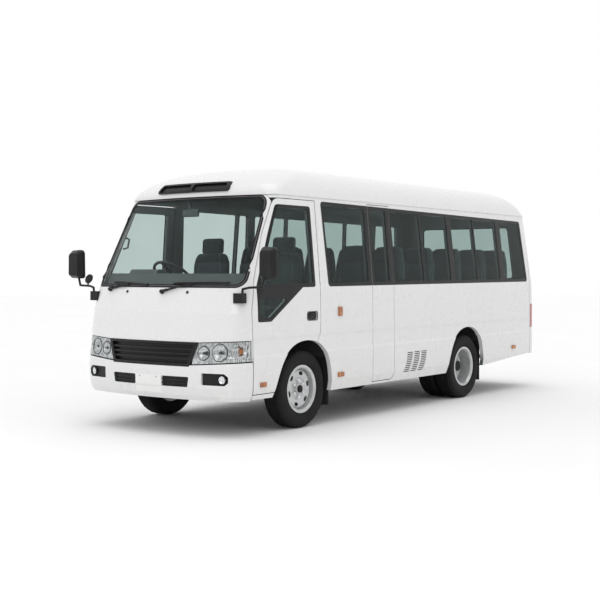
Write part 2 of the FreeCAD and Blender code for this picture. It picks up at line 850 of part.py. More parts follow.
# Floor, frame and running gear.

HOUSE_INNER_Y = 500
HOUSE_REACH = 560


def make_floor():
    """Floor pan with wheelhouses, engine cover, footwells, cab steps and bulkhead."""
    top, thick = dim("floor_z"), dim("floor_thickness")
    base = top - thick
    well, step, wide = dim("cab_floor_z"), dim("cab_step_z"), 1020
    front = dim("bulkhead_x")
    riser_x, rail_clear, step_y = 2485, 500, 700
    plates = [
        box(-3125, riser_x, -wide, wide, base, top),
        box(riser_x, front, -rail_clear, rail_clear, base, top),
        box(front - 15, front + 15, -wide, wide, base, 1000),
    ]
    for side in (1, -1):
        for x0, x1, y0, y1, z0, z1 in (
            (riser_x, front, rail_clear, step_y, well - thick, well),
            (riser_x, front, rail_clear - 10, rail_clear + 10, well - thick, top),
            (riser_x, front, step_y, wide, step - 32, step),
            (riser_x, front, step_y - 10, step_y + 10, step - 32, well),
            (riser_x - 15, riser_x + 15, rail_clear - 10, wide, step - 32, top),
            (front - 15, front + 15, rail_clear - 10, wide, step - 32, top),
        ):
            plates.append(box(x0, x1, *sorted((side * y0, side * y1)), z0, z1))
    hollow_top = house_top() - 20
    cuts = []
    for axle_x, inner, rear, reach in (
        (dim("front_axle_x"), 528, dim("front_house_rear"), 470),
        (dim("rear_axle_x"), HOUSE_INNER_Y, dim("rear_house_rear"), HOUSE_REACH),
    ):
        x0, x1 = axle_x - rear, axle_x + reach
        for side in (1, -1):
            y0, y1 = sorted((side * (inner - 20), side * wide))
            plates.append(box(x0 - 20, x1 + 20, y0, y1, base, house_top()))
            y0, y1 = sorted((side * inner, side * (wide + 10)))
            cuts.append(box(x0, x1, y0, y1, base - 400, hollow_top))
    cover = box(1560, 2780, -330, 330, base, 965)
    hollow = box(1590, 2760, -306, 306, 300, 940)
    for side in (1, -1):
        points, radii = door_outline(-12)
        cuts.append(slab(0, dim("wall_thickness") + 8, side_prism(points, side)))
    points, radii = exit_outline(-12)
    cuts.append(slab(0, dim("wall_thickness") + 8, side_prism(points, 1)))
    pan = plates[0].fuse(plates[1:] + [cover]).cut(cuts + [hollow])
    pan = pan.common(wall_skin(dim("wall_thickness")))
    feature("floor_pan", biggest(pan.removeSplitter()))


def block(name, x, y, z, length, width, height):
    """Part box with its corner and sizes given as numbers or sheet expressions."""
    obj = doc.addObject("Part::Box", name)
    for prop, value in (("Length", length), ("Width", width), ("Height", height)):
        if isinstance(value, str):
            obj.setExpression(prop, value)
        else:
            setattr(obj, prop, value)
    for axis, value in zip("xyz", (x, y, z)):
        if isinstance(value, str):
            obj.setExpression("Placement.Base." + axis, value)
        else:
            obj.setExpression("Placement.Base." + axis, str(value))
    return obj


def fused(label, parts):
    """Parametric union of several blocks."""
    obj = doc.addObject("Part::MultiFuse", label)
    obj.Shapes = parts
    obj.Refine = True
    return keep(obj, label)


def tow_lug(name, x):
    """Plate below the left rail's end, bored across for a shackle pin."""
    y = "Sizes.rail_offset - Sizes.tow_lug_width / 2"
    plate = block(name + "_plate", x - 45, y, "Sizes.rear_eye_z - 45", 90,
                  "Sizes.tow_lug_width", 160)
    bore = doc.addObject("Part::Cylinder", name + "_bore")
    bore.setExpression("Radius", "Sizes.tow_bore_radius")
    bore.Height = 200
    bore.Placement = Placement(Vector(x, dim("rail_offset") - 100, dim("rear_eye_z")),
                               Rotation(Vector(1, 0, 0), -90))
    lug = doc.addObject("Part::Cut", name)
    lug.Base = plate
    lug.Tool = bore
    return lug


def tow_plate(name, root, reach):
    """Flat plate ahead of the left rail, bored upright, on a web below the rail."""
    y = "Sizes.rail_offset - 40"
    plate = block(name + "_plate", root, y, "Sizes.tow_plate_z - Sizes.tow_lug_width / 2",
                  reach - root, 80, "Sizes.tow_lug_width")
    web = block(name + "_web", root, "Sizes.rail_offset - 20", "Sizes.tow_plate_z", 30, 40, 68)
    bore = doc.addObject("Part::Cylinder", name + "_bore")
    bore.setExpression("Radius", "Sizes.tow_bore_radius")
    bore.Height = 80
    bore.setExpression("Placement.Base.x", "Sizes.tow_plate_x")
    bore.setExpression("Placement.Base.y", "Sizes.rail_offset")
    bore.setExpression("Placement.Base.z", "Sizes.tow_plate_z - 40")
    bored = doc.addObject("Part::Cut", name + "_bored")
    bored.Base = plate
    bored.Tool = bore
    return [bored, web]


def make_chassis():
    """Ladder frame: two rails, their cross members and a tow lug at each end."""
    parts = []
    for name, place in (
        ("rail_left", "Sizes.rail_offset - Sizes.rail_width / 2"),
        ("rail_right", "-Sizes.rail_offset - Sizes.rail_width / 2"),
    ):
        parts.append(block(name, -2960, place, "Sizes.rail_base_z",
                           5840, "Sizes.rail_width", "Sizes.rail_height"))
    for number, x in enumerate((-2900, -1900, -420, 650, 1400, 2800)):
        parts.append(block("cross_member_%d" % number, x,
                           "-Sizes.rail_offset - Sizes.rail_width / 4",
                           "Sizes.rail_base_z + 30", 70,
                           "2 * Sizes.rail_offset + Sizes.rail_width / 2",
                           "Sizes.rail_height - 60"))
    for side, name in ((1, "left"), (-1, "right")):
        y = side * dim("rail_offset")
        stay = doc.addObject("Part::Feature", "bumper_stay_" + name)
        stay.Shape = box(2870, 3120, y - 20, y + 20, 500, 620).common(bumper_skin(32))
        parts.append(stay)
        inner = dim("rail_offset") - dim("rail_width") / 2
        y0 = min(side * 270, side * (inner + 10))
        parts.append(block("engine_mount_" + name, 2150, y0, 500, 100, inner - 260, 44))
    for number, x in enumerate((-300, 300)):
        y0 = -dim("tank_inner_y")
        parts.append(block("tank_bracket_%d" % number, x, y0, 500,
                           60, dim("tank_inner_y") - dim("rail_offset"), 44))
    parts += tow_plate("front_tow", 2850, 3010)
    parts.append(tow_lug("rear_tow_lug", -2905))
    fused("chassis_frame", parts)


def make_engine():
    """Engine as one plain block under its cover."""
    keep(block("engine_block", 1640, -270, 400, 860, 540, 520), "engine_block")


def make_front_axle():
    """Dropped beam with an eye for each kingpin."""
    x = dim("front_axle_x")
    z = dim("tyre_radius")
    eye = dim("kingpin_y")
    shape = box(x - 34, x + 34, -600, 600, z - 110, z - 40)
    for side in (1, -1):
        arm = Part.makePolygon([
            Vector(x - 30, side * 560, z - 105), Vector(x - 30, side * 620, z - 105),
            Vector(x - 30, side * 700, z - 38), Vector(x - 30, side * eye, z - 34),
            Vector(x - 30, side * eye, z + 34),
            Vector(x - 30, side * 690, z + 30), Vector(x - 30, side * 560, z - 45),
            Vector(x - 30, side * 560, z - 105),
        ])
        shape = shape.fuse(Part.Face(arm).extrude(Vector(60, 0, 0)))
        shape = shape.fuse(rod((x, side * eye, z - 42), (x, side * eye, z + 42), 38))
        shape = shape.cut(rod((x, side * eye, z - 90), (x, side * eye, z + 90),
                              dim("kingpin_radius") + 0.5))
    for side in (1, -1):
        seat = box(x - 60, x + 60, *sorted((side * 424, side * 490)), z - 60, z - 32)
        shape = shape.fuse(seat)
    feature("front_axle", biggest(shape.removeSplitter()))


def make_knuckle(name, side):
    """Steering knuckle: forked kingpin lugs, stub axle and steering arm."""
    x = dim("front_axle_x")
    z = dim("tyre_radius")
    y = side * dim("kingpin_y")
    outer = side * (dim("kingpin_y") + 62)
    pin = rod((x, y, z - 84), (x, y, z + 84), dim("kingpin_radius"))
    lugs = []
    for low, high in ((z - 86, z - 48), (z + 48, z + 86)):
        lugs.append(rod((x, y, low), (x, y, high), 34))
        lugs.append(box(x - 34, x + 34, *sorted((y, outer)), low, high))
    plate = box(x - 50, x + 50, *sorted((side * (dim("kingpin_y") + 46), outer)), z - 86, z + 86)
    stub = rod((x, side * (dim("kingpin_y") + 46), z), (x, side * 884, z), 30)
    arm_end = x - dim("steering_arm")
    arm = box(arm_end, x, y - 13, y + 13, z - 92, z - 68)
    boss = rod((arm_end, y, z - 92), (arm_end, y, z - 60), 20)
    feature(name, biggest(joined(pin, *lugs, plate, stub, arm, boss)))


def make_tie_rod():
    """Track rod between the two steering arms."""
    x = dim("front_axle_x") - dim("steering_arm")
    z = dim("tyre_radius") - 112
    y = dim("kingpin_y")
    bar = rod((x, -y, z), (x, y, z), 13)
    eyes = [rod((x, side * y, z - 14), (x, side * y, z + 15), 19) for side in (1, -1)]
    feature("tie_rod", biggest(joined(bar, *eyes)))


def make_rear_axle():
    """Banjo housing with spring seats and differential."""
    x = dim("rear_axle_x")
    z = dim("tyre_radius")
    tube = rod((x, -650, z), (x, 650, z), 52)
    ends = [rod((x, side * 640, z), (x, side * 802, z), 36) for side in (1, -1)]
    bowl = Part.makeSphere(150, Vector(x, 0, z)).common(box(x - 120, x + 200, -200, 200, 0, 900))
    nose = rod((x + 110, 0, z), (x + 260, 0, z + 12), 52)
    pads = [box(x - 60, x + 60, *sorted((side * 424, side * 490)), z + 30, z + 62)
            for side in (1, -1)]
    feature("rear_axle", biggest(joined(tube, bowl, nose, *ends, *pads)))


def leaf_pack(x, y, low, length, leaves, camber):
    """Stack of curved leaves, each shorter than the one above it."""
    packs = []
    for number in range(leaves):
        half = 0.5 * length * (1 - 0.24 * number)
        drop = camber * (half / (0.5 * length)) ** 2
        top = low + 14 * (leaves - number)
        points = (Vector(x - half, y, top + drop), Vector(x, y, top), Vector(x + half, y, top + drop))
        arc = Part.Arc(*points).toShape()
        face = arc.extrude(Vector(0, 0, -14))
        packs.append(face.extrude(Vector(0, 60, 0)))
    return packs[0].fuse(packs[1:])


def make_springs():
    """Leaf springs of both axles beside the rails, with their hangers."""
    z = dim("tyre_radius")
    rail_face = dim("rail_offset") + dim("rail_width") / 2
    middle = dim("spring_offset")
    solids = []
    for side in (1, -1):
        for axle_x, low, length, leaves, camber in (
            (dim("front_axle_x"), z - 32, 1120, 3, 60),
            (dim("rear_axle_x"), z + 62, 1240, 4, 40),
        ):
            pack = leaf_pack(axle_x, side * middle - 30, low, length, leaves, camber)
            tip_z = low + 14 * leaves + camber
            y0, y1 = sorted((side * rail_face, side * (middle + 30)))
            for way in (1, -1):
                tip_x = axle_x + way * 0.5 * length
                pack = pack.fuse(box(tip_x - 26, tip_x + 26, y0, y1, tip_z - 18, 580))
            solids.append(biggest(pack))
    feature("leaf_springs", Part.makeCompound(solids))


def make_drive_shaft():
    """Propeller shaft from the engine to the differential."""
    x = dim("rear_axle_x") + 263
    z = dim("tyre_radius") + 12
    shaft = rod((x, 0, z), (1500, 0, 470), 38)
    box_body = rod((1490, 0, 470), (1640, 0, 470), 90)
    yoke = rod((x, 0, z), (x + 90, 0, z + 3), 55)
    feature("drive_shaft", biggest(joined(shaft, box_body, yoke)))


def make_tank():
    """Fuel tank outside the right-hand rail."""
    tank = block("fuel_tank_block", -420, "-Sizes.tank_inner_y - 420", 330, 900, 420, 280)
    doc.recompute()
    rounded = doc.addObject("Part::Fillet", "fuel_tank")
    rounded.Base = tank
    edges = []
    for number, edge in enumerate(tank.Shape.Edges, start=1):
        way = edge.Vertexes[1].Point - edge.Vertexes[0].Point
        if abs(way.x) > 1:
            edges.append((number, 60.0, 60.0))
    rounded.Edges = edges
    keep(rounded, "fuel_tank")


def make_exhaust():
    """Exhaust with its silencer and tail pipe."""
    route = ((1638, 230, 430), (300, 230, 420), (-300, 230, 420), (-880, 230, 570),
             (-1500, 230, 570), (-1800, 230, 400), (-2150, 520, 395), (-3080, 520, 395))
    radius = 27
    pipes = [rod(a, b, radius) for a, b in zip(route, route[1:])]
    bends = [Part.makeSphere(radius, Vector(*point)) for point in route[1:-1]]
    silencer = rod((280, 230, 420), (-280, 230, 420), 95)
    feature("exhaust", biggest(joined(silencer, *pipes, *bends)))


def make_mud_flaps():
    """Rubber flap behind each wheel."""
    flaps = []
    base = dim("floor_z") - dim("floor_thickness")
    for x, inner in ((dim("front_axle_x") - dim("front_house_rear") - 6, 740),
                     (dim("rear_axle_x") - dim("rear_house_rear") - 6, 560)):
        for side in (1, -1):
            y0, y1 = sorted((side * inner, side * 945))
            flaps.append(box(x - 8, x, y0, y1, 180, base))
    feature("mud_flaps", Part.makeCompound(flaps))


# Wheels: revolved tyres and dished disc rims.

def role_plane(body, role):
    """One of a body's own origin planes."""
    for item in body.Origin.OriginFeatures:
        if item.Role == role:
            return item
    raise ValueError(role)


def profile_sketch(body, role, name, points):
    """Closed sketch whose corners are held by distances bound to the sheet."""
    sketch = body.newObject("Sketcher::SketchObject", name)
    sketch.AttachmentSupport = [(role_plane(body, role), "")]
    sketch.MapMode = "FlatFace"
    values = [(evaluate(a), evaluate(b)) for a, b in points]
    count = len(points)
    for index in range(count):
        start = Vector(values[index][0], values[index][1], 0)
        end = Vector(values[(index + 1) % count][0], values[(index + 1) % count][1], 0)
        sketch.addGeometry(Part.LineSegment(start, end), False)
    for index in range(count):
        sketch.addConstraint(Sketcher.Constraint(
            "Coincident", index, 2, (index + 1) % count, 1))
    for index, (a, b) in enumerate(points):
        for kind, text, value in (("DistanceX", a, values[index][0]),
                                  ("DistanceY", b, values[index][1])):
            number = sketch.addConstraint(Sketcher.Constraint(kind, -1, 1, index, 1, value))
            if isinstance(text, str):
                sketch.setExpression("Constraints[%d]" % number, text)
    return sketch


def evaluate(text):
    """Value of a sheet expression made of sums and products of cells."""
    if not isinstance(text, str):
        return float(text)
    total, sign = 0.0, 1.0
    for word in text.replace("Sizes.", "").split():
        if word in "+-":
            sign = 1.0 if word == "+" else -1.0
            continue
        value = 1.0
        for position, factor in enumerate(word.split("/")):
            number = float(factor) if factor[0].isdigit() else dim(factor)
            value = number if position == 0 else value / number
        total += sign * value
        sign = 1.0
    return total


def revolved_body(label, points, role="XZ_Plane"):
    """Body turned about its own Z axis from a profile of radius and offset."""
    body = doc.addObject("PartDesign::Body", label)
    sketch = profile_sketch(body, role, label + "_profile", points)
    turn = body.newObject("PartDesign::Revolution", label + "_turn")
    turn.Profile = sketch
    turn.ReferenceAxis = (sketch, ["V_Axis"])
    turn.Angle = 360
    sketch.Visibility = False
    return body


TYRE_PROFILE = (
    ("Sizes.rim_barrel_radius", "Sizes.tyre_width/2 - 34"),
    ("Sizes.rim_flange_radius + 1", "Sizes.tyre_width/2 - 22"),
    ("Sizes.rim_flange_radius + 20", "Sizes.tyre_width/2 - 5"),
    ("Sizes.tyre_radius - 60", "Sizes.tyre_width/2"),
    ("Sizes.tyre_radius - 14", "Sizes.tyre_width/2 - 14"),
    ("Sizes.tyre_radius", "Sizes.tyre_width/2 - 40"),
)


def full_profile(half):
    """The half profile and its mirror image, as one closed outline."""
    other = [(radius, "0 - " + offset.replace(" - ", " + ")) for radius, offset in reversed(half)]
    return list(half) + other


def wheel_place(x, y, side, spin=0):
    """Wheel axis along Y, its outer face turned to the given side, at an angle of spin."""
    turn = Rotation(Vector(1, 0, 0), -90 * side) * Rotation(Vector(0, 0, 1), spin)
    return Placement(Vector(x, y, dim("tyre_radius")), turn)


def make_tyres():
    """A single tyre at each front wheel and a pair at each rear wheel."""
    for side, name in ((1, "left"), (-1, "right")):
        body = revolved_body("front_tyre_" + name, full_profile(TYRE_PROFILE))
        body.Placement = wheel_place(dim("front_axle_x"), side * dim("front_wheel_y"), side)
        keep(body, "front_tyre_" + name)
        body = revolved_body("rear_tyres_" + name, full_profile(TYRE_PROFILE))
        body.AllowCompound = True
        pair = body.newObject("PartDesign::LinearPattern", "rear_tyres_%s_pair" % name)
        pair.Originals = [item for item in body.Group if item.Name.endswith("_turn")]
        pair.Direction = (body.Group[0], ["V_Axis"])
        pair.Length = dim("twin_spacing")
        pair.Occurrences = 2
        body.Tip = pair
        place = side * (dim("rear_pair_y") - dim("twin_spacing") / 2)
        body.Placement = wheel_place(dim("rear_axle_x"), place, side)
        keep(body, "rear_tyres_" + name)


def rim_body(label, profile, hole_radius, hole_at):
    """Disc wheel turned from its section, with six hand holes."""
    body = revolved_body(label, profile)
    doc.recompute()
    sketch = body.newObject("Sketcher::SketchObject", label + "_hole")
    sketch.AttachmentSupport = [(role_plane(body, "XY_Plane"), "")]
    sketch.MapMode = "FlatFace"
    centre = Vector(hole_at, 0, 0)
    ring = Part.Ellipse(centre + Vector(0, hole_radius, 0), centre + Vector(0.62 * hole_radius, 0, 0),
                        centre)
    sketch.addGeometry(ring, False)
    pocket = body.newObject("PartDesign::Pocket", label + "_hand_hole")
    pocket.Profile = sketch
    pocket.Type = "ThroughAll"
    pocket.Midplane = True
    sketch.Visibility = False
    doc.recompute()
    pattern = body.newObject("PartDesign::PolarPattern", label + "_hand_holes")
    pattern.Originals = [pocket]
    pattern.Axis = (sketch, ["N_Axis"])
    pattern.Angle = 360
    pattern.Occurrences = 6
    body.Tip = pattern
    doc.recompute()
    return body


def front_rim_profile():
    """Section of the convex front disc, its hub and the barrel behind it."""
    return (
        (0, 66), (46, 66), (52, 58), (56, 40), (98, 40), (112, 50), (172, 54), (197, 36),
        (198, 82), (210, 91), ("Sizes.rim_flange_radius", 91), ("Sizes.rim_flange_radius", 84),
        (216, 84), (206, 76), (206, -76), (216, -84), ("Sizes.rim_flange_radius", -84),
        ("Sizes.rim_flange_radius", -91), (210, -91), (198, -80), (198, 14),
        (170, 42), (112, 38), (98, 26), (32, 26), (32, 42), (0, 42),
    )


def rear_rim_profile():
    """Section of the twin rims, bolted disc to disc, with the hub through them."""
    return (
        (0, 128), (60, 128), (66, 118), (70, 16), (104, 12), (166, 24), (192, 58),
        (196, 190), (208, 209), ("Sizes.rim_flange_radius", 209),
        ("Sizes.rim_flange_radius", 202), (214, 202), (206, 190), (206, 46), (216, 34),
        ("Sizes.rim_flange_radius", 34), ("Sizes.rim_flange_radius", 27), (196, 22),
        (172, 6), (172, -6), (196, -22), ("Sizes.rim_flange_radius", -27),
        ("Sizes.rim_flange_radius", -34), (216, -34), (206, -46), (206, -190), (214, -202),
        ("Sizes.rim_flange_radius", -202), ("Sizes.rim_flange_radius", -209),
        (208, -209), (196, -194), (194, -58), (166, -24), (100, -12), (38, -12),
        (38, 60), (0, 60),
    )


HAND_HOLE_SPIN = -44


def make_rims():
    """Disc wheels: convex at the front, deeply dished twins at the rear."""
    for side, name in ((1, "left"), (-1, "right")):
        label = "front_rim_" + name
        body = rim_body(label, front_rim_profile(), 31, 150)
        body.Placement = wheel_place(dim("front_axle_x"), side * dim("front_wheel_y"), side,
                                     HAND_HOLE_SPIN)
        keep(body, label)
        label = "rear_rims_" + name
        body = rim_body(label, rear_rim_profile(), 29, 136)
        body.Placement = wheel_place(dim("rear_axle_x"), side * dim("rear_pair_y"), side,
                                     HAND_HOLE_SPIN)
        keep(body, label)


# Cab and seats.

def make_dashboard():
    """Dashboard from wall to wall with the instrument hood and the steering column."""
    profile = ((2570, 1060), (2590, 1400), (2650, 1474), (2730, 1478), (2900, 1345),
               (2960, 1300), (2960, 1000), (2700, 1000))
    body = side_prism(profile, 1, (20, 60, 60, 60, 20, 10, 10, 40), -940, 940)
    hood = side_prism(((2560, 1300), (2578, 1512), (2700, 1518), (2790, 1380)), -1,
                      (8, 40, 50, 8), 270, 640)
    body = body.fuse(hood).common(wall_skin(dim("wall_thickness") + 6))
    tilt = math.radians(dim("steering_wheel_tilt"))
    hub_x, hub_z = dim("steering_wheel_x"), dim("steering_wheel_z")

    def down(distance):
        return (hub_x + distance * math.sin(tilt), -dim("seat_y"),
                hub_z - distance * math.cos(tilt))

    column = rod(down(32), down(440), 32)
    feature("dashboard", biggest(joined(body, column)))


def make_steering_wheel():
    """Two-spoke-and-stem steering wheel, laid well back."""
    radius = dim("steering_wheel_radius")
    rim = Part.makeTorus(radius, 15)
    hub = Part.makeCylinder(48, 46, Vector(0, 0, -26))
    spokes = []
    for angle in (0, 180, 270):
        spoke = Part.makeBox(radius - 30, 34, 14, Vector(36, -17, -12))
        spoke.rotate(Vector(0, 0, 0), Vector(0, 0, 1), angle)
        spokes.append(spoke)
    wheel = joined(rim, hub, *spokes)
    wheel.rotate(Vector(0, 0, 0), Vector(0, 0, 1), 90)
    wheel.rotate(Vector(0, 0, 0), Vector(0, 1, 0), -dim("steering_wheel_tilt"))
    wheel.translate(Vector(dim("steering_wheel_x"), -dim("seat_y"), dim("steering_wheel_z")))
    feature("steering_wheel", biggest(wheel))


def seat_places():
    """Each seat's rear x, middle y, width and kind, row by row and then the cab's two."""
    places = []
    width = dim("seat_width")
    outer = dim("seat_outer_y")
    for number in range(5):
        x = dim("first_row_x") - number * dim("seat_pitch")
        for y in (outer - width / 2, -outer + width / 2, -outer + 1.5 * width + 10):
            places.append((x, y, width, "row"))
    x = dim("first_row_x") - 5 * dim("seat_pitch")
    for number in range(4):
        places.append((x, (number - 1.5) * (width + 6), width, "row"))
    for x, side in ((dim("passenger_seat_x"), 1), (dim("driver_seat_x"), -1)):
        places.append((x, side * dim("seat_y"), dim("front_seat_width"), "cab"))
    return places


CUSHION_TOP = 1125
CUSHION_DEPTH = 430
CUSHION_THICKNESS = 120
BACK_THICKNESS = 105
BACK_RAKE = 60
LEG_REAR = 200
LEG_FRONT = 290
ROW_SEAT_TOP = 1765
CAB_SEAT_TOP = 1842


def back_outline(y, width, kind, low):
    """Front view of a seat's back: wide shoulders below a narrower, rounded head section."""
    half = width / 2 - 6
    if kind == "row":
        right = ((half, low), (half, 1500), (half - 26, 1640), (half - 74, ROW_SEAT_TOP))
        radii = (10, 160, 120, 56)
    else:
        right = ((half, low), (half - 8, 1590), (150, 1676), (128, 1690), (136, CAB_SEAT_TOP))
        radii = (10, 70, 20, 12, 56)
    left = [(-offset, height) for offset, height in reversed(right)]
    points = [(y + offset, height) for offset, height in list(right) + left]
    return points, radii + radii[::-1]


def house_top():
    """Height of the wheelhouses' upper face."""
    return dim("arch_top_z") + 40


def floor_under(x, y):
    """Height of the floor below a seat's leg: the floor itself or a wheelhouse."""
    axle = dim("rear_axle_x")
    over = axle - dim("rear_house_rear") < x + LEG_REAR < axle + HOUSE_REACH
    return house_top() if over and abs(y) > HOUSE_INNER_Y else dim("floor_z")


def make_seats():
    """Cushion, raked back and pedestal of each seat, as separate pieces."""
    cushions, backs, frames = [], [], []
    for x, y, width, kind in seat_places():
        front = x + BACK_RAKE + BACK_THICKNESS + CUSHION_DEPTH
        low = CUSHION_TOP - CUSHION_THICKNESS
        y0, y1 = y - width / 2, y + width / 2
        profile = ((x + BACK_RAKE + BACK_THICKNESS + 10, low), (front, low),
                   (front, CUSHION_TOP + 8),
                   (x + BACK_RAKE + BACK_THICKNESS + 10, CUSHION_TOP - 12))
        cushions.append(side_prism(profile, 1, (10, 45, 40, 10), y0 + 2, y1 - 2))
        top = ROW_SEAT_TOP if kind == "row" else CAB_SEAT_TOP
        profile = ((x + BACK_RAKE, low + 20), (x + BACK_RAKE + BACK_THICKNESS, low + 20),
                   (x + BACK_THICKNESS - 15, top), (x, top))
        back = side_prism(profile, 1, (10, 10, 36, 36), y0, y1)
        points, radii = back_outline(y, width, kind, low)
        backs.append(biggest(back.common(end_prism(points, x - 50, front, radii))))
        floor = dim("floor_z")
        legs = [(leg, leg + 40, floor_under(x, leg)) for leg in (y0 + 60, y1 - 100)]
        if kind == "cab":
            side = 1 if y > 0 else -1
            legs = ((side * 365 - 20, side * 365 + 20, floor),
                    (side * 580 - 20, side * 580 + 20, house_top()))
        tray = box(x + BACK_RAKE + 60, front - 20, y0 + 12, y1 - 12, low - 30, low - 2)
        pedestal = [box(x + LEG_REAR, x + LEG_FRONT, leg[0], leg[1], leg[2], low - 30)
                    for leg in legs]
        frames.append(tray.fuse(pedestal))
    feature("seat_cushions", Part.makeCompound(cushions))
    feature("seat_backs", Part.makeCompound(backs))
    feature("seat_frames", Part.makeCompound([biggest(frame) for frame in frames]))


# Mirrors and wipers.

def make_mirrors():
    """Door mirrors on tubular arms from brackets at the nose corners."""
    solids = []
    height = dim("mirror_height")
    for side in (1, -1):
        bracket = box(2872, 2936, *sorted((side * 870, side * 972)), 1212, 1302)
        bracket = bracket.cut(wall_skin(0))
        points = ((2906, side * 950, 1290), (2906, side * 956, 1338), (2894, side * 1020, 1352),
                  (2890, side * 1165, 1358), (2890, side * 1190, 1445))
        arm = [rod(a, b, 11) for a, b in zip(points, points[1:])]
        knees = [Part.makeSphere(11, Vector(*point)) for point in points[1:-1]]
        face = rounded_outline(((side * 1137, 1424), (side * 1142, 1424 + height),
                                (side * 1312, 1424 + height - 8), (side * 1317, 1432)),
                               (30, 44, 44, 30), "YZ")
        back = rounded_outline(((side * 1165, 1452), (side * 1168, 1392 + height),
                                (side * 1288, 1386 + height), (side * 1292, 1458)),
                               (20, 34, 34, 20), "YZ")
        face.translate(Vector(2848, 0, 0))
        middle = face.copy()
        middle.translate(Vector(34, 0, 0))
        back.translate(Vector(2932, 0, 0))
        shell = Part.makeLoft([face, middle], True, True).fuse(
            Part.makeLoft([middle, back], True, True))
        solids.append(biggest(bracket.fuse([shell] + arm + knees)))
    feature("mirrors", Part.makeCompound(solids))


def screen_x(y, z):
    """Forward reach of the screen's outer face at a height and a distance off centre."""
    share = (z - dim("belt_z")) / (dim("drip_z") - dim("belt_z"))
    centre = dim("belt_nose") + share * (dim("drip_nose") - dim("belt_nose"))
    if z < dim("belt_z"):
        share = (z - dim("chest_z")) / (dim("belt_z") - dim("chest_z"))
        centre = dim("chest_nose") + share * (dim("belt_nose") - dim("chest_nose"))
    bow = dim("nose_bow_radius")
    return centre - bow + math.sqrt(bow * bow - y * y)


def make_wipers():
    """Two wipers parked along the foot of the screen."""
    solids = []
    for pivot, elbow, tip_a, tip_b in (
        ((-668, 1322), (-400, 1372), (-640, 1392), (-130, 1372)),
        ((76, 1306), (420, 1376), (190, 1384), (790, 1392)),
    ):
        def on(place, proud):
            return (screen_x(*place) + proud, place[0], place[1])

        spindle = rod(on(pivot, -6), on(pivot, 26), 13)
        arm = rod(on(pivot, 20), on(elbow, 24), 6)
        blade = rod(on(tip_a, 14), on(tip_b, 20), 7)
        link = rod(on(elbow, 24), on((elbow[0], 0.5 * (tip_a[1] + tip_b[1])), 16), 6)
        solids.append(biggest(spindle.fuse([arm, blade, link]).cut(wall_skin(0))))
    feature("wipers", Part.makeCompound(solids))


make_side_walls()
make_nose_panel()
make_rear_panel()
make_roof()
make_front_doors()
make_exit_door()
make_window_frames()
make_side_glass()
make_screens()
make_front_bumper()
make_bumper_inserts()
make_rear_bumper()
make_grille()
make_front_lamps()
make_rear_lamps()
make_side_lamps()
make_mirrors()
make_wipers()
make_mud_flaps()
make_dashboard()
make_steering_wheel()
make_seats()
make_floor()
make_chassis()
make_engine()
make_front_axle()
make_knuckle("knuckle_left", 1)
make_knuckle("knuckle_right", -1)
make_tie_rod()
make_rear_axle()
make_springs()
make_drive_shaft()
make_tank()
make_exhaust()
make_tyres()
make_rims()
doc.recompute()

for item in doc.Objects:
    if "Invalid" in item.State or "Error" in item.State:
        raise RuntimeError("not made: " + item.Name)
os.makedirs("parts", exist_ok=True)
for node in nodes:
    shape = node.Shape
    if shape.isNull() or not shape.isValid() or not shape.Solids:
        raise RuntimeError("bad shape: " + node.Label)
    print("%-20s solids %2d  volume %8.2f litres" % (
        node.Label, len(shape.Solids), shape.Volume / 1e6))
    shape.exportStep("parts/%s.step" % node.Label)
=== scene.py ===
from contextlib import contextmanager
from math import ceil, cos, exp, hypot, pi, radians, sin, sqrt, tan
import json

import bmesh
import bpy
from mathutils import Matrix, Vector, noise as noise_at
from mathutils.bvhtree import BVHTree


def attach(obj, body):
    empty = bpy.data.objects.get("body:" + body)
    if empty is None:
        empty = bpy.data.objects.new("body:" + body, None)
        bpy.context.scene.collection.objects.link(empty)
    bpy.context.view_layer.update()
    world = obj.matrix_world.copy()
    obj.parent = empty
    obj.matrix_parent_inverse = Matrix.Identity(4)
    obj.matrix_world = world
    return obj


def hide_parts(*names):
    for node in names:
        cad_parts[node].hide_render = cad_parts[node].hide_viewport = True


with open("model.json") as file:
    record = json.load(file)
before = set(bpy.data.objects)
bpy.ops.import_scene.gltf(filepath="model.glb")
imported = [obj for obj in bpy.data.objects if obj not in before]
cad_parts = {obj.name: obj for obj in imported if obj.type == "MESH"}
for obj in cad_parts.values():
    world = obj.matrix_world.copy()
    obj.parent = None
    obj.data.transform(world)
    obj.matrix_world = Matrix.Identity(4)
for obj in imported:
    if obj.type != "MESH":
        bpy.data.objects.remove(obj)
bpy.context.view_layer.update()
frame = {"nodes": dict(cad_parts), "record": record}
nodes = frame["nodes"]
scene = bpy.context.scene

SIDES = ((1, "left"), (-1, "right"))

# Places on the body, in metres in the row frame.
FRONT_AXLE_X = 2.0
REAR_AXLE_X = -1.2
AXLE_Z = 0.373
FRONT_WHEEL_Y = 0.845
REAR_PAIR_Y = 0.745
TWIN_SPACING = 0.236


# Materials.

def new_material(name):
    """An empty node material, its tree and its shader."""
    material = bpy.data.materials.new(name)
    material.use_nodes = True
    return material, material.node_tree, material.node_tree.nodes["Principled BSDF"]


def add(tree, kind, **settings):
    """A node with its own settings."""
    node = tree.nodes.new(kind)
    for key, value in settings.items():
        setattr(node, key, value)
    return node


def put(socket, value):
    """Links another socket to an input, or sets any other value on the input itself."""
    if isinstance(value, bpy.types.NodeSocket):
        socket.id_data.links.new(value, socket)
    else:
        socket.default_value = value


def feed(node, **values):
    """Puts values or sockets on a node's inputs."""
    for key, value in values.items():
        put(node.inputs[key.replace("_", " ")], value)


def object_place(tree):
    """Coordinates of the surface point in the object's own frame."""
    return add(tree, "ShaderNodeTexCoord").outputs["Object"]


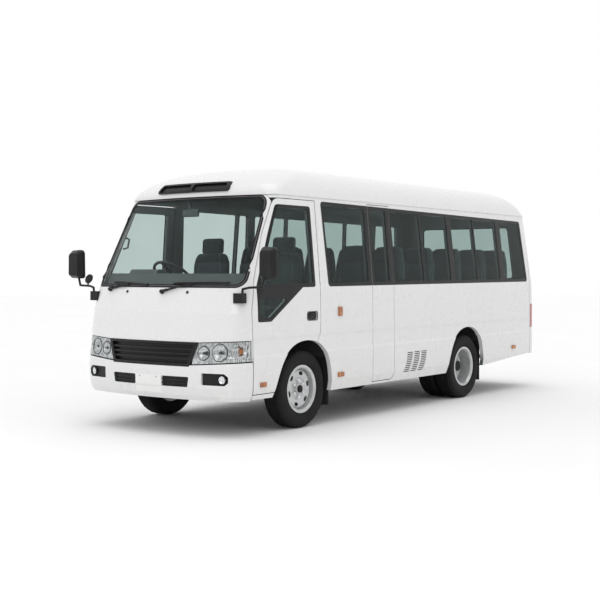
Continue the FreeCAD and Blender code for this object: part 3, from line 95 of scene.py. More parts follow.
def noise(tree, scale, detail=3.0, roughness=0.5):
    """Noise over the object's own coordinates."""
    node = add(tree, "ShaderNodeTexNoise")
    feed(node, Vector=object_place(tree), Scale=scale, Detail=detail, Roughness=roughness)
    return node.outputs["Fac"]


def bands(tree, direction, scale, distortion=0.0):
    """Stripes over the object's own coordinates."""
    node = add(tree, "ShaderNodeTexWave", wave_type="BANDS", bands_direction=direction)
    feed(node, Vector=object_place(tree), Scale=scale, Distortion=distortion)
    return node.outputs["Fac"]


def spread(value, low=0.3, high=0.7, to_low=0.0, to_high=1.0):
    """Value's span from low to high, drawn out to another span."""
    node = add(value.id_data, "ShaderNodeMapRange")
    feed(node, Value=value, From_Min=low, From_Max=high, To_Min=to_low, To_Max=to_high)
    return node.outputs["Result"]


def blend_colours(factor, first, second):
    """Mix of two colours, each a tuple or a socket, by a socket."""
    node = add(factor.id_data, "ShaderNodeMix", data_type="RGBA")
    feed(node, Factor=factor)
    for key, colour in (("A", first), ("B", second)):
        socket = [s for s in node.inputs if s.name == key and s.type == "RGBA"][0]
        put(socket, (*colour, 1.0) if isinstance(colour, tuple) else colour)
    return [s for s in node.outputs if s.type == "RGBA"][0]


def bump(shader, height, strength, distance):
    """Bump on the shader from a height socket."""
    node = add(height.id_data, "ShaderNodeBump")
    feed(node, Height=height, Strength=strength, Distance=distance)
    feed(shader, Normal=node.outputs["Normal"])


def calc(operation, *values, kind="Math", output="Value"):
    """Math or vector math node over a socket and further sockets or constants."""
    node = add(values[0].id_data, "ShaderNode" + kind, operation=operation)
    for socket, value in zip(node.inputs, values):
        put(socket, value)
    return node.outputs[output]


def axis_value(vector, axis):
    """X, Y or Z of a vector socket."""
    node = add(vector.id_data, "ShaderNodeSeparateXYZ")
    feed(node, Vector=vector)
    return node.outputs[axis]


def mottled(name, dark, light, rough, scale=6.0, grain=0.0, grain_scale=900.0, **fixed):
    """Surface whose colour wanders between two near tones, with a fine moulded grain."""
    material, tree, shader = new_material(name)
    tone = spread(noise(tree, scale, 4.0, 0.6))
    wear = noise(tree, scale * 5, 2.0)
    feed(shader, Base_Color=blend_colours(tone, dark, light),
         Roughness=spread(wear, to_low=rough - 0.05, to_high=rough + 0.05), **fixed)
    if grain:
        bump(shader, noise(tree, grain_scale, 2.0), grain, 0.0004)
    return material


# The side windows' openings, whose edges the lining covers.
WINDOW_Z = (1.36, 2.17)
WINDOW_X = (-2.85, 2.42)
EDGE_FACING = 0.6
# Scale and offset that turn a place on the shell into its way out from the cabin's middle.
MIDDLE_SCALE = (0.33, 1.0, 0.9)
MIDDLE_OFFSET = (0.0, 0.0, -1.25)


def reveal_share(tree):
    """1 on the edges of the side windows' openings, which the lining covers."""
    facing = add(tree, "ShaderNodeTexCoord").outputs["Normal"]
    across = calc("ABSOLUTE", axis_value(facing, "Y"))
    share = calc("LESS_THAN", across, EDGE_FACING)
    for axis, (low, high) in (("Z", WINDOW_Z), ("X", WINDOW_X)):
        place = axis_value(object_place(tree), axis)
        share = calc("MULTIPLY", share, calc("GREATER_THAN", place, low))
        share = calc("MULTIPLY", share, calc("LESS_THAN", place, high))
    return share


def inward_share(tree):
    """1 where a wall's surface faces the cabin, 0 where it faces the street."""
    facing = add(tree, "ShaderNodeTexCoord").outputs["Normal"]
    out = calc("MULTIPLY_ADD", object_place(tree), MIDDLE_SCALE, MIDDLE_OFFSET,
               kind="VectorMath", output="Vector")
    way = calc("NORMALIZE", out, kind="VectorMath", output="Vector")
    turned_in = spread(calc("DOT_PRODUCT", way, facing, kind="VectorMath"), -0.25, -0.35)
    return calc("MAXIMUM", turned_in, reveal_share(tree))


def paint_material():
    """Glossy white paint outside, grey moulded lining on faces turned to the cabin."""
    material, tree, shader = new_material("white_paint")
    white = blend_colours(spread(noise(tree, 1.7)), (0.746, 0.749, 0.746), (0.754, 0.757, 0.754))
    low_down = spread(axis_value(object_place(tree), "Z"), 0.62, 0.33, 0.0, 0.16)
    dust = calc("MULTIPLY", low_down, noise(tree, 9.0, 5.0, 0.7))
    outside = blend_colours(dust, white, (0.5, 0.48, 0.44))
    lining = blend_colours(noise(tree, 14.0, 4.0), (0.1, 0.125, 0.125), (0.13, 0.155, 0.155))
    inward = inward_share(tree)
    gloss = spread(noise(tree, 5.0), to_low=0.26, to_high=0.29)
    feed(shader, Base_Color=blend_colours(inward, outside, lining),
         Roughness=calc("ADD", gloss, calc("MULTIPLY", inward, 0.5)),
         Coat_Weight=0.45, Coat_Roughness=0.06)
    bump(shader, noise(tree, 420.0, 1.0), 0.012, 0.0004)
    return material


def clear_material(name, tint, gloss_rough=0.02, frosting=None, mirror=0.035):
    """Thin see-through pane: what is behind is tinted, and the surface mirrors at a slant."""
    material, tree, shader = new_material(name)
    deeper = tuple(channel * 0.985 for channel in tint)
    through = add(tree, "ShaderNodeBsdfTransparent")
    streaks = spread(noise(tree, 2.3))
    feed(through, Color=blend_colours(streaks, deeper, tint))
    feed(shader, Base_Color=(*[c * 0.25 for c in tint], 1.0), Roughness=gloss_rough)
    if frosting:
        bump(shader, noise(tree, frosting, 2.0), 0.05, 0.001)
    slant = add(tree, "ShaderNodeLayerWeight").outputs["Facing"]
    steep = calc("POWER", slant, 5.0)
    share = calc("ADD", calc("MULTIPLY", steep, 0.9), mirror)
    mix = add(tree, "ShaderNodeMixShader")
    for socket, value in zip(mix.inputs, (share, *through.outputs, *shader.outputs)):
        put(socket, value)
    feed(tree.nodes["Material Output"], Surface=mix.outputs["Shader"])
    return material


def lens_material(name, deep, bright, ribs):
    """Coloured lamp plastic with moulded ribs and a painted glow: its colour turns lighter in
    random patches, as if lit from inside.
    """
    material, tree, shader = new_material(name)
    # Painted glow: lighter lens colour in random patches stands in for light from inside the
    # lamp.
    painted_glow = spread(noise(tree, 26.0, 2.0), 0.35, 0.65)
    feed(shader, Base_Color=blend_colours(painted_glow, deep, bright), Roughness=0.14,
         Subsurface_Weight=0.25, Subsurface_Radius=(0.02, 0.008, 0.004), Coat_Weight=0.6)
    bump(shader, bands(tree, "Z", ribs), 0.35, 0.002)
    return material


def weave_material(name, dark, light, threads=520.0):
    """Woven seat cloth: crossed threads, small flecks and a soft sheen."""
    material, tree, shader = new_material(name)
    weave = calc("MAXIMUM", *[bands(tree, way, threads, 0.6) for way in ("Y", "Z")])
    flecks = spread(noise(tree, 160.0, 3.0, 0.7), 0.35, 0.65)
    wash = spread(noise(tree, 7.0), to_high=0.5)
    share = calc("MINIMUM", calc("ADD", calc("MULTIPLY", flecks, 0.5), wash), 1.0)
    feed(shader, Base_Color=blend_colours(share, dark, light), Roughness=0.92,
         Sheen_Weight=0.25, Sheen_Roughness=0.5)
    bump(shader, weave, 0.35, 0.0006)
    return material


def rubber_material():
    """Tyre rubber, greyer where dust sits, with a fine moulded grain."""
    material, tree, shader = new_material("tyre_rubber")
    dust = spread(noise(tree, 11.0, 6.0, 0.7), 0.4, 0.7)
    feed(shader, Base_Color=blend_colours(dust, (0.009, 0.009, 0.01), (0.02, 0.02, 0.02)),
         Roughness=spread(dust, 0.0, 1.0, 0.62, 0.8), Specular_IOR_Level=0.16)
    bump(shader, noise(tree, 380.0), 0.2, 0.0005)
    return material


def rim_material():
    """Silver painted steel wheel, a little duller and darker in places."""
    material, tree, shader = new_material("rim_silver")
    tone = spread(noise(tree, 18.0, 4.0))
    feed(shader, Base_Color=blend_colours(tone, (0.5, 0.505, 0.51), (0.6, 0.605, 0.61)),
         Metallic=0.55, Roughness=spread(noise(tree, 60.0), to_low=0.28, to_high=0.4))
    bump(shader, noise(tree, 700.0, 2.0), 0.08, 0.0003)
    return material


def mirror_material():
    """Lamp mirror: bright metal with bands of painted dark reflection, as flutes would mirror,
    broken into patches.
    """
    material, tree, shader = new_material("lamp_mirror")
    flute_reflection = spread(bands(tree, "Y", 26.0, 2.5), 0.1, 0.9)
    patch = spread(noise(tree, 34.0, 2.0), 0.4, 0.6)
    # Painted reflection: the metal colour darkens in flute bands to stand in for dark
    # surroundings mirrored in them.
    share = calc("MULTIPLY", flute_reflection, patch)
    feed(shader, Base_Color=blend_colours(share, (0.66, 0.67, 0.68), (0.2, 0.205, 0.21)),
         Metallic=0.9, Roughness=0.22)
    return material


# Dark tone, light tone, roughness and further settings of the mottled materials.
MOTTLED = {
    "black_trim": ((0.009, 0.009, 0.01), (0.015, 0.015, 0.016), 0.38,
                   dict(grain=0.12, Specular_IOR_Level=0.24)),
    "flap_rubber": ((0.01, 0.01, 0.01), (0.02, 0.02, 0.02), 0.78,
                    dict(grain=0.3, grain_scale=300.0)),
    "dash_plastic": ((0.07, 0.085, 0.085), (0.085, 0.1, 0.1), 0.62,
                     dict(grain=0.35, grain_scale=520.0)),
    "wheel_plastic": ((0.03, 0.033, 0.034), (0.042, 0.046, 0.047), 0.5,
                      dict(grain=0.3, grain_scale=700.0)),
    "seat_steel": ((0.045, 0.048, 0.05), (0.06, 0.062, 0.065), 0.42, {}),
    "floor_mat": ((0.05, 0.052, 0.052), (0.072, 0.074, 0.074), 0.75,
                  dict(grain=0.5, grain_scale=240.0)),
    "chassis_black": ((0.012, 0.012, 0.012), (0.026, 0.024, 0.022), 0.55,
                      dict(scale=10.0, grain=0.15)),
    "engine_iron": ((0.05, 0.048, 0.045), (0.08, 0.075, 0.07), 0.6,
                    dict(grain=0.6, grain_scale=140.0, Metallic=0.6)),
    "tank_steel": ((0.022, 0.022, 0.022), (0.04, 0.038, 0.036), 0.42, {}),
    "exhaust_steel": ((0.16, 0.14, 0.12), (0.26, 0.24, 0.22), 0.48,
                      dict(scale=8.0, grain=0.2, Metallic=0.9)),
    "chrome": ((0.82, 0.83, 0.84), (0.88, 0.885, 0.89), 0.1, dict(Metallic=1.0)),
    "plate_white": ((0.78, 0.78, 0.76), (0.83, 0.83, 0.81), 0.36, dict(grain=0.1)),
    "seal_rubber": ((0.01, 0.01, 0.01), (0.016, 0.016, 0.016), 0.6,
                    dict(grain=0.15, Specular_IOR_Level=0.2)),
    "filler_grey": ((0.09, 0.082, 0.1), (0.12, 0.11, 0.13), 0.35, {}),
}
MATERIALS = {
    "white_paint": paint_material(),
    "tinted_glass": clear_material("tinted_glass", (0.79, 0.85, 0.838), mirror=0.075),
    "screen_glass": clear_material("screen_glass", (0.96, 0.985, 0.98)),
    "clear_lens": clear_material("clear_lens", (0.95, 0.96, 0.96), 0.03, frosting=55.0),
    "red_lens": lens_material("red_lens", (0.28, 0.006, 0.008), (0.5, 0.018, 0.016), 260.0),
    "amber_lens": lens_material("amber_lens", (0.3, 0.085, 0.012), (0.5, 0.17, 0.025), 300.0),
    "seat_fabric": weave_material("seat_fabric", (0.05, 0.066, 0.074), (0.082, 0.102, 0.11)),
    "head_fabric": weave_material("head_fabric", (0.03, 0.042, 0.048), (0.048, 0.063, 0.069)),
    "tyre_rubber": rubber_material(),
    "rim_silver": rim_material(),
    "lamp_mirror": mirror_material(),
}
for label, (dark_tone, light_tone, dullness, options) in MOTTLED.items():
    MATERIALS[label] = mottled(label, dark_tone, light_tone, dullness, **options)

# The record's slot of each material that isn't a slot itself.
# The windscreen is clearer than the other panes of its slot.
SPECIAL_GLASS = {"windscreen": "screen_glass"}


def dress_nodes():
    """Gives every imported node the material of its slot."""
    slots = {part["node"]: part["material_slot"] for part in frame["record"]["subparts"]}
    for name, node in nodes.items():
        node.data.materials.clear()
        node.data.materials.append(MATERIALS[SPECIAL_GLASS.get(name, slots[name])])
        for polygon in node.data.polygons:
            polygon.material_index = 0


dress_nodes()


# Mesh helpers.

def put_in_scene(name, data):
    """Object around its data, linked to the scene."""
    thing = bpy.data.objects.new(name, data)
    scene.collection.objects.link(thing)
    return thing


def mesh_from(name, bm):
    """Mesh of a bm, which ends with it."""
    mesh = bpy.data.meshes.new(name)
    bm.to_mesh(mesh)
    bm.free()
    return mesh


def smooth(mesh, angle):
    """Smooth shading with edges kept sharp above an angle in degrees."""
    mesh.shade_smooth()
    mesh.set_sharp_from_angle(angle=radians(angle))


@contextmanager
def new_piece(name, material, body="body", slot=None, angle=35.0, replaces=None):
    """Open bm of a visible piece, which is then welded, smoothed and set on its body."""
    bm = bmesh.new()
    yield bm
    bmesh.ops.remove_doubles(bm, verts=bm.verts, dist=1e-6)
    bmesh.ops.recalc_face_normals(bm, faces=bm.faces)
    mesh = mesh_from(name, bm)
    mesh.materials.append(MATERIALS[material])
    smooth(mesh, angle)
    piece = put_in_scene(name, mesh)
    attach(piece, body)
    if replaces:
        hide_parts(replaces)


def spokes(count, start=0.0):
    """Cosine and sine at even steps of a full turn."""
    angles = [2 * pi * (step + start) / count for step in range(count)]
    return [(cos(angle), sin(angle)) for angle in angles]


def even_shares(count):
    """Shares of a way from 0 to 1 in equal steps."""
    return [step / count for step in range(count + 1)]


def bridge(bm, first, second):
    """Faces between two closed rings of as many points."""
    for k in range(len(first)):
        after = (k + 1) % len(first)
        bm.faces.new((first[k], first[after], second[after], second[k]))


def join_rings(bm, rings, closed=False):
    """Faces between neighbouring rings, with caps on the ends of an open row."""
    for first, second in zip(rings, rings[1:] + rings[:closed]):
        bridge(bm, first, second)
    if not closed:
        bm.faces.new(rings[0][::-1])
        bm.faces.new(rings[-1])


def block(bm, centre, size, bevel=0.0):
    """Box with rounded edges added to a bm."""
    corners = bmesh.ops.create_cube(bm, size=1.0)["verts"]
    for corner in corners:
        corner.co = Vector([c * s for c, s in zip(corner.co, size)]) + Vector(centre)
    if bevel:
        edges = list({edge for corner in corners for edge in corner.link_edges})
        bmesh.ops.bevel(bm, geom=edges, offset=bevel, segments=2, affect="EDGES", profile=0.5)


def revolve(bm, profile, steps, centre, axis):
    """Closed solid of revolution from (radius, along) points about an axis through centre."""
    axis = Vector(axis).normalized()
    across = axis.orthogonal().normalized()
    other = axis.cross(across)
    rings = []
    for radius, along in profile:
        middle = Vector(centre) + axis * along
        if radius < 1e-6:
            rings.append([bm.verts.new(middle)])
            continue
        rings.append([bm.verts.new(middle + radius * (c * across + s * other))
                      for c, s in spokes(steps)])
    for first, second in zip(rings, rings[1:]):
        if len(first) == len(second):
            bridge(bm, first, second)
            continue
        tip, ring = (first, second) if len(first) == 1 else (second, first)
        for corner, after in zip(ring, ring[1:] + ring[:1]):
            bm.faces.new((tip[0], corner, after))


def tube(bm, path, radius, sides=10):
    """Round bar with closed ends along a path of points."""
    points = [Vector(point) for point in path]
    rings = []
    lead = (points[1] - points[0]).orthogonal().normalized()
    for number, point in enumerate(points):
        before = points[max(number - 1, 0)]
        after = points[min(number + 1, len(points) - 1)]
        way = (after - before).normalized()
        lead = (lead - way * lead.dot(way)).normalized()
        side = way.cross(lead)
        rings.append([bm.verts.new(point + radius * (c * lead + s * side))
                      for c, s in spokes(sides)])
    join_rings(bm, rings)


# Camera, floor and light.

CAMERA_PLACE = (10.4887, 7.2375, 1.492)
CAMERA_TURN = radians(36.432)
CAMERA_DIP = radians(1.454)
LENS_MM = 66.5
SHIFT_X = -0.00795
FLOOR_RADIUS = 60.0
# Way from the bus towards which the world is dimmer: ahead, to the left and low.
DIM_SIDE = (0.74, 0.6, -0.3)
DIM_LEVEL = 0.62
SUN_STRENGTH = 0.52
KEY_PLACE = (11.0, 3.0, 6.0)
KEY_TARGET = (2.5, 0.0, 1.2)
KEY_SIZE = 5.0
KEY_POWER = 120.0


def turn_to(thing, look):
    """Turns a camera or light so that it looks along a way."""
    thing.rotation_mode = "QUATERNION"
    thing.rotation_quaternion = look.to_track_quat("-Z", "Y")


def make_camera():
    """Camera where the photo was taken from: a long lens ahead of the left front corner."""
    data = bpy.data.cameras.new("camera")
    camera = put_in_scene("camera", data)
    bpy.context.scene.camera = camera
    camera.location = CAMERA_PLACE
    turn_to(camera, Vector((-cos(CAMERA_TURN) * cos(CAMERA_DIP),
                            -sin(CAMERA_TURN) * cos(CAMERA_DIP),
                            -sin(CAMERA_DIP))))
    data.sensor_width = 36.0
    data.lens = LENS_MM
    data.shift_x = SHIFT_X
    data.clip_end = 200.0


def make_floor():
    """Plain pale floor."""
    bm = bmesh.new()
    bmesh.ops.create_circle(bm, cap_ends=True, segments=96, radius=FLOOR_RADIUS)
    floor = put_in_scene("floor", mesh_from("floor", bm))
    material, tree, shader = new_material("floor_pale")
    feed(shader, Base_Color=blend_colours(noise(tree, 0.35), (0.86, 0.86, 0.86),
                                          (0.9, 0.9, 0.9)),
         Roughness=0.9, Specular_IOR_Level=0.1)
    floor.data.materials.append(material)


def make_light():
    """White light from all round, dimmer towards one side, a sun above and a soft key light."""
    world = bpy.data.worlds.new("studio")
    scene.world = world
    world.use_nodes = True
    tree = world.node_tree
    place = add(tree, "ShaderNodeTexCoord").outputs["Generated"]
    toward = calc("DOT_PRODUCT", place, DIM_SIDE, kind="VectorMath")
    feed(tree.nodes["Background"], Color=(1.0, 1.0, 1.0, 1.0),
         Strength=spread(toward, 0.1, 0.85, 1.0, DIM_LEVEL))
    data = bpy.data.lights.new("overhead", "SUN")
    data.energy = SUN_STRENGTH
    data.angle = radians(50)
    put_in_scene("overhead", data).location = (0.0, 0.0, 12.0)
    data = bpy.data.lights.new("key", "AREA")
    data.shape = "SQUARE"
    data.size = KEY_SIZE
    data.energy = KEY_POWER
    key = put_in_scene("key", data)
    key.location = KEY_PLACE
    turn_to(key, Vector(KEY_TARGET) - Vector(KEY_PLACE))
    scene.view_settings.view_transform = "Standard"


make_camera()
make_floor()
make_light()


# Places on the skin.

AHEAD = (Vector((4.5, 0.0, 0.0)), Vector((-1.0, 0.0, 0.0)), 1, 2)
BEHIND = (Vector((-4.5, 0.0, 0.0)), Vector((1.0, 0.0, 0.0)), 1, 2)
FROM_LEFT = (Vector((0.0, 2.0, 0.0)), Vector((0.0, -1.0, 0.0)), 0, 2)
FROM_RIGHT = (Vector((0.0, -2.0, 0.0)), Vector((0.0, 1.0, 0.0)), 0, 2)


def skin_tree(*names):
    """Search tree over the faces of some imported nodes."""
    points, faces = [], []
    for name in names:
        node = nodes[name]
        first = len(points)
        points += [node.matrix_world @ vertex.co for vertex in node.data.vertices]
        faces += [[first + number for number in polygon.vertices]
                  for polygon in node.data.polygons]
    return BVHTree.FromPolygons(points, faces)


def outward(normal, look):
    """Normal of a face turned against the look that meets it."""
    return -normal if normal.dot(look) > 0 else normal


def on_skin(tree, way, first, second):
    """Point and outward normal met by a straight look at two of the row frame's coordinates."""
    origin, look, axis_a, axis_b = way
    for nudge in (0.0, 0.0011, -0.0011, 0.004, -0.004, 0.012, -0.012):
        start = origin.copy()
        start[axis_a], start[axis_b] = first + nudge, second
        point, normal, _, _ = tree.ray_cast(start, look)
        if point is not None:
            break
    return point, outward(normal, look)


def rounded_loop(points, radii, steps=6):
    """Closed outline in a plane with each corner rounded to its radius."""
    loop = []
    count = len(points)
    for number, (corner, radius) in enumerate(zip(points, radii)):
        here = Vector(corner)
        before = Vector(points[number - 1]) - here
        after = Vector(points[(number + 1) % count]) - here
        half = 0.5 * before.angle(after)
        reach = min(radius / tan(half), 0.45 * before.length, 0.45 * after.length)
        radius = reach * tan(half)
        bisector = (before.normalized() + after.normalized()).normalized()
        centre = here + bisector * (radius / sin(half))
        start = here + before.normalized() * reach - centre
        end = here + after.normalized() * reach - centre
        for step in range(steps + 1):
            share = step / steps
            spoke = (start * (1 - share) + end * share).normalized() * radius
            loop.append(centre + spoke)
    return loop


def spaced(loop, pitch):
    """Outline with further points so that none is farther than the pitch from the next."""
    dense = []
    for here, there in zip(loop, loop[1:] + loop[:1]):
        parts = max(1, ceil((there - here).length / pitch))
        dense += [here.lerp(there, part / parts) for part in range(parts)]
    return dense


def ribbon(bm, places, width, proud, sunk, closed=True):
    """Flat strip along places on the skin."""
    rings = []
    count = len(places)
    for number, (point, normal) in enumerate(places):
        after = places[(number + 1) % count if closed else min(number + 1, count - 1)][0]
        before = places[number - 1 if closed else max(number - 1, 0)][0]
        across = normal.cross((after - before).normalized()).normalized()
        rings.append([bm.verts.new(point + normal * height + across * (part * width / 2))
                      for part, height in ((-1, -sunk), (1, -sunk), (1, proud), (-1, proud))])
    join_rings(bm, rings, closed)


def close_sheet(bm, layers, columns, rows):
    """Faces of a slab whose grid points come in pairs, one on each of its two layers."""
    for i in range(columns):
        for j in range(rows):
            cell = [layers[i, j], layers[i + 1, j], layers[i + 1, j + 1], layers[i, j + 1]]
            bm.faces.new([corner[0] for corner in cell])
            bm.faces.new([corner[1] for corner in reversed(cell)])
    edge = ([(i, 0) for i in range(columns)] + [(columns, j) for j in range(rows)]
            + [(i, rows) for i in range(columns, 0, -1)] + [(0, j) for j in range(rows, 0, -1)])
    for here, there in zip(edge, edge[1:] + edge[:1]):
        top, low = layers[here]
        next_top, next_low = layers[there]
        bm.faces.new((top, next_top, next_low, low))


def skin_patch(bm, tree, way, spans, proud, sunk, columns, rows):
    """Closed slab that follows the skin over a rectangle of two coordinates."""
    (a0, a1), (b0, b1) = spans
    layers = {}
    for i in range(columns + 1):
        for j in range(rows + 1):
            point, normal = on_skin(tree, way, a0 + (a1 - a0) * i / columns,
                                    b0 + (b1 - b0) * j / rows)
            layers[i, j] = (bm.verts.new(point + normal * proud),
                            bm.verts.new(point - normal * sunk))
    close_sheet(bm, layers, columns, rows)


def skin_line(tree, way, start, end, shares):
    """Places on the skin at shares of the way between two pairs of coordinates."""
    return [on_skin(tree, way, *[a + (b - a) * share for a, b in zip(start, end)])
            for share in shares]


def disc(bm, place, radius, rise, edge=0.002):
    """Low round button standing on a place on the skin."""
    profile = ((0.0, -0.004), (radius, -0.004), (radius, rise - edge), (radius - edge, rise),
               (0.0, rise))
    revolve(bm, profile, 20, *place)


def turned_piece(name, profile, steps, centre, axis, material, body="body", angle=50.0):
    """Visible piece turned about an axis."""
    with new_piece(name, material, body, angle=angle) as bm:
        revolve(bm, profile, steps, centre, axis)


# Seats: stuffed cushions and backs with seams and bolsters.

ROW_WIDTH = 0.43
CAB_WIDTH = 0.47
CUSHION_LOW = 1.005
CUSHION_HIGH = 1.13
BACK_LOW = 1.025
ROW_TOP = 1.765
CAB_TOP = 1.842
HEAD_SEAM_Z = 1.585
SEAM_AT = 0.64
SEAM_DEPTH = 0.007
FIRST_ROW_X = 0.632
ROW_PITCH = 0.645
ROW_YS = (0.687, -0.687, -0.247)
LAST_ROW_X = -2.593
LAST_ROW_YS = (-0.654, -0.218, 0.218, 0.654)
CAB_SEATS = ((1.59, 0.45, "cab"), (1.64, -0.45, "cab"))
CUSHION_AHEAD = 0.382
CUSHION_HALF_DEPTH = 0.213
CUSHION_EDGE = 0.034
ROLL_SEAM = 0.6
BACK_HALF_THICK = 0.05
BACK_EDGE = 0.036
BACK_RAKE = 0.06
CAB_BACK_TOP = 1.68
HEAD_MIDDLE_Z = 1.757
HEAD_HALF = Vector((0.044, 0.134, 0.084))
HEAD_EDGE = 0.04
HEAD_SEAM_Y = 0.092
# Half width of a back at some heights.
BACK_WIDTHS = {
    "row": ((BACK_LOW, 0.209), (1.45, 0.209), (1.56, 0.202), (1.64, 0.186), (1.71, 0.168),
            (ROW_TOP, 0.15)),
    "cab": ((BACK_LOW, 0.229), (1.5, 0.228), (1.59, 0.222), (1.64, 0.196), (1.7, 0.165)),
}


def seat_places():
    """Rear x, middle y and kind of each seat."""
    places = [(FIRST_ROW_X - ROW_PITCH * row, y, "row") for row in range(5) for y in ROW_YS]
    places += [(LAST_ROW_X, y, "row") for y in LAST_ROW_YS]
    return places + list(CAB_SEATS)


def lattice_box(bm, lines, shape):
    """Closed skin of a grid block whose points are put in place by a function."""
    made = {}
    counts = [len(line) - 1 for line in lines]

    def vertex(key):
        if key not in made:
            made[key] = bm.verts.new(shape(*[line[n] for line, n in zip(lines, key)]))
        return made[key]

    faces = []
    for axis in range(3):
        a, b = [other for other in range(3) if other != axis]
        for end in (0, counts[axis]):
            for i in range(counts[a]):
                for j in range(counts[b]):
                    corners = []
                    for step_a, step_b in ((0, 0), (1, 0), (1, 1), (0, 1)):
                        key = [0, 0, 0]
                        key[axis], key[a], key[b] = end, i + step_a, j + step_b
                        corners.append(vertex(tuple(key)))
                    faces.append(bm.faces.new(corners))
    bmesh.ops.recalc_face_normals(bm, faces=faces)


def rounded_point(shares, half, radius):
    """Point at shares of a box's half sizes, moved onto the box with rounded edges."""
    point = [share * h for share, h in zip(shares, half)]
    core = Vector([max(-(h - radius), min(h - radius, p)) for p, h in zip(point, half)])
    rest = Vector(point) - core
    return core + rest.normalized() * radius if rest.length > 1e-9 else Vector(point)


def groove(distance, width=0.007):
    """Depth share of a seam at a distance from its line."""
    return exp(-(distance / width) ** 2)


def pucker(point, amount=0.0022):
    """Slow creases of stretched cloth."""
    return amount * noise_at.noise(Vector(point) * 9.0)


def seam_lines(edge=SEAM_AT, half=0.215):
    """Grid lines over -1 to 1 that crowd at the rounded edges and at two seams."""
    step = 0.006 / half
    plus = [0.0, 0.2, 0.4, edge - 3 * step, edge - step, edge, edge + step, edge + 3 * step,
            0.8, 0.88, 0.94, 0.98, 1.0]
    return [-value for value in reversed(plus[1:])] + plus


def cushion_mesh(width):
    """Seat cushion: crowned middle, raised side bolsters and a rolled front edge."""
    half = Vector((CUSHION_HALF_DEPTH, width / 2 - 0.003, (CUSHION_HIGH - CUSHION_LOW) / 2))

    def shape(u, v, w):
        point = rounded_point((u, v, w), half, CUSHION_EDGE)
        top = max(0.0, w)
        point.x *= 1 - 0.035 * (1 - v * v) * u * u
        point.y *= 1 - 0.03 * (1 - u * u) * v * v
        point.z += top * 0.016 * (1 - u ** 4) * (1 - v ** 4)
        seams = groove((abs(v) - SEAM_AT) * half.y) + groove((u - ROLL_SEAM) * half.x)
        point.z -= top * SEAM_DEPTH * min(seams, 1.2)
        point.z += top * 0.006 * exp(-((abs(v) - 0.84) / 0.12) ** 2)
        point.z += top * pucker(point)
        return point

    bm = bmesh.new()
    depth = [-1.0, -0.97, -0.9, -0.8, -0.5, -0.2, 0.1, 0.4, 0.53, 0.57, 0.6, 0.63, 0.67,
             0.78, 0.86, 0.93, 0.98, 1.0]
    height = [-1.0, -0.8, -0.4, 0.0, 0.4, 0.8, 1.0]
    lattice_box(bm, (depth, seam_lines(half=half.y), height), shape)
    mesh = mesh_from("cushion", bm)
    mesh.materials.append(MATERIALS["seat_fabric"])
    return mesh


def back_half_width(kind, z):
    """Half width of a seat back at a height."""
    steps = BACK_WIDTHS[kind]
    for (z0, half0), (z1, half1) in zip(steps, steps[1:]):
        if z <= z1:
            return half0 + (half1 - half0) * max(0.0, (z - z0) / (z1 - z0))
    return steps[-1][1]


def back_mesh(kind):
    """Raked seat back: crowned panel, side bolsters and a seam below the head section."""
    width, top, full_top = {"row": (ROW_WIDTH, ROW_TOP, ROW_TOP),
                            "cab": (CAB_WIDTH, CAB_BACK_TOP, CAB_TOP)}[kind]
    half = Vector((BACK_HALF_THICK, width / 2, (top - BACK_LOW) / 2))
    middle = (top + BACK_LOW) / 2

    def rear_x(z):
        return BACK_RAKE * (full_top - z) / (full_top - BACK_LOW)

    def shape(u, v, w):
        point = rounded_point((u, v, w), half, BACK_EDGE)
        z = middle + point.z
        seam = groove((abs(v) - SEAM_AT) * half.y) + groove(z - HEAD_SEAM_Z)
        front = max(0.0, u)
        bulge = 0.014 * (1 - v ** 4) * (1 - w ** 6) * (front + 0.35 * max(0.0, -u))
        bulge -= SEAM_DEPTH * min(seam, 1.2) * front
        bulge += 0.008 * front * exp(-((abs(v) - 0.86) / 0.12) ** 2)
        share = (z - BACK_LOW) / (full_top - BACK_LOW)
        thick = 1 - 0.14 * share
        x = rear_x(z) + 0.052 + point.x * thick + bulge + front * pucker((v, w, u))
        y = point.y / half.y * back_half_width(kind, z)
        y *= 1 - 0.02 * (1 - w * w) * v * v
        return Vector((x, y, z + 0.006 * (1 - v * v) * max(0.0, w)))

    seam_w = (HEAD_SEAM_Z - middle) / half.z
    step = 0.006 / half.z
    rows = [-1.0, -0.985, -0.95, -0.9, -0.7, -0.45, -0.2, 0.05, 0.25]
    rows += [seam_w - 4 * step, seam_w - step, seam_w, seam_w + step, seam_w + 4 * step]
    rows += [value for value in (0.75, 0.84, 0.9, 0.95, 0.985, 1.0) if value > seam_w + 5 * step]
    thickness = [-1.0, -0.7, -0.3, 0.1, 0.5, 0.8, 1.0]
    bm = bmesh.new()
    lattice_box(bm, (thickness, seam_lines(half=half.y), rows), shape)
    if kind == "cab":
        def head_shape(u, v, w):
            point = rounded_point((u, v, w), HEAD_HALF, HEAD_EDGE)
            z = HEAD_MIDDLE_Z + point.z
            bulge = 0.008 * (1 - v ** 4) * (1 - w ** 4) * u
            seam = SEAM_DEPTH * groove(abs(v) * HEAD_HALF.y - HEAD_SEAM_Y) * max(0.0, u)
            return Vector((rear_x(z) + 0.046 + point.x + bulge - seam,
                           point.y * (1 - 0.03 * (1 - w * w)), z))

        grid = [-1.0, -0.95, -0.85, -0.7, -0.55, -0.3, 0.0, 0.3, 0.55, 0.7, 0.85, 0.95, 1.0]
        lattice_box(bm, (thickness, seam_lines(0.69, HEAD_HALF.y), grid), head_shape)
    mesh = mesh_from(kind + "_back", bm)
    mesh.materials.append(MATERIALS["seat_fabric"])
    mesh.materials.append(MATERIALS["head_fabric"])
    for polygon in mesh.polygons:
        polygon.material_index = 1 if polygon.center.z > HEAD_SEAM_Z + 0.003 else 0
    return mesh


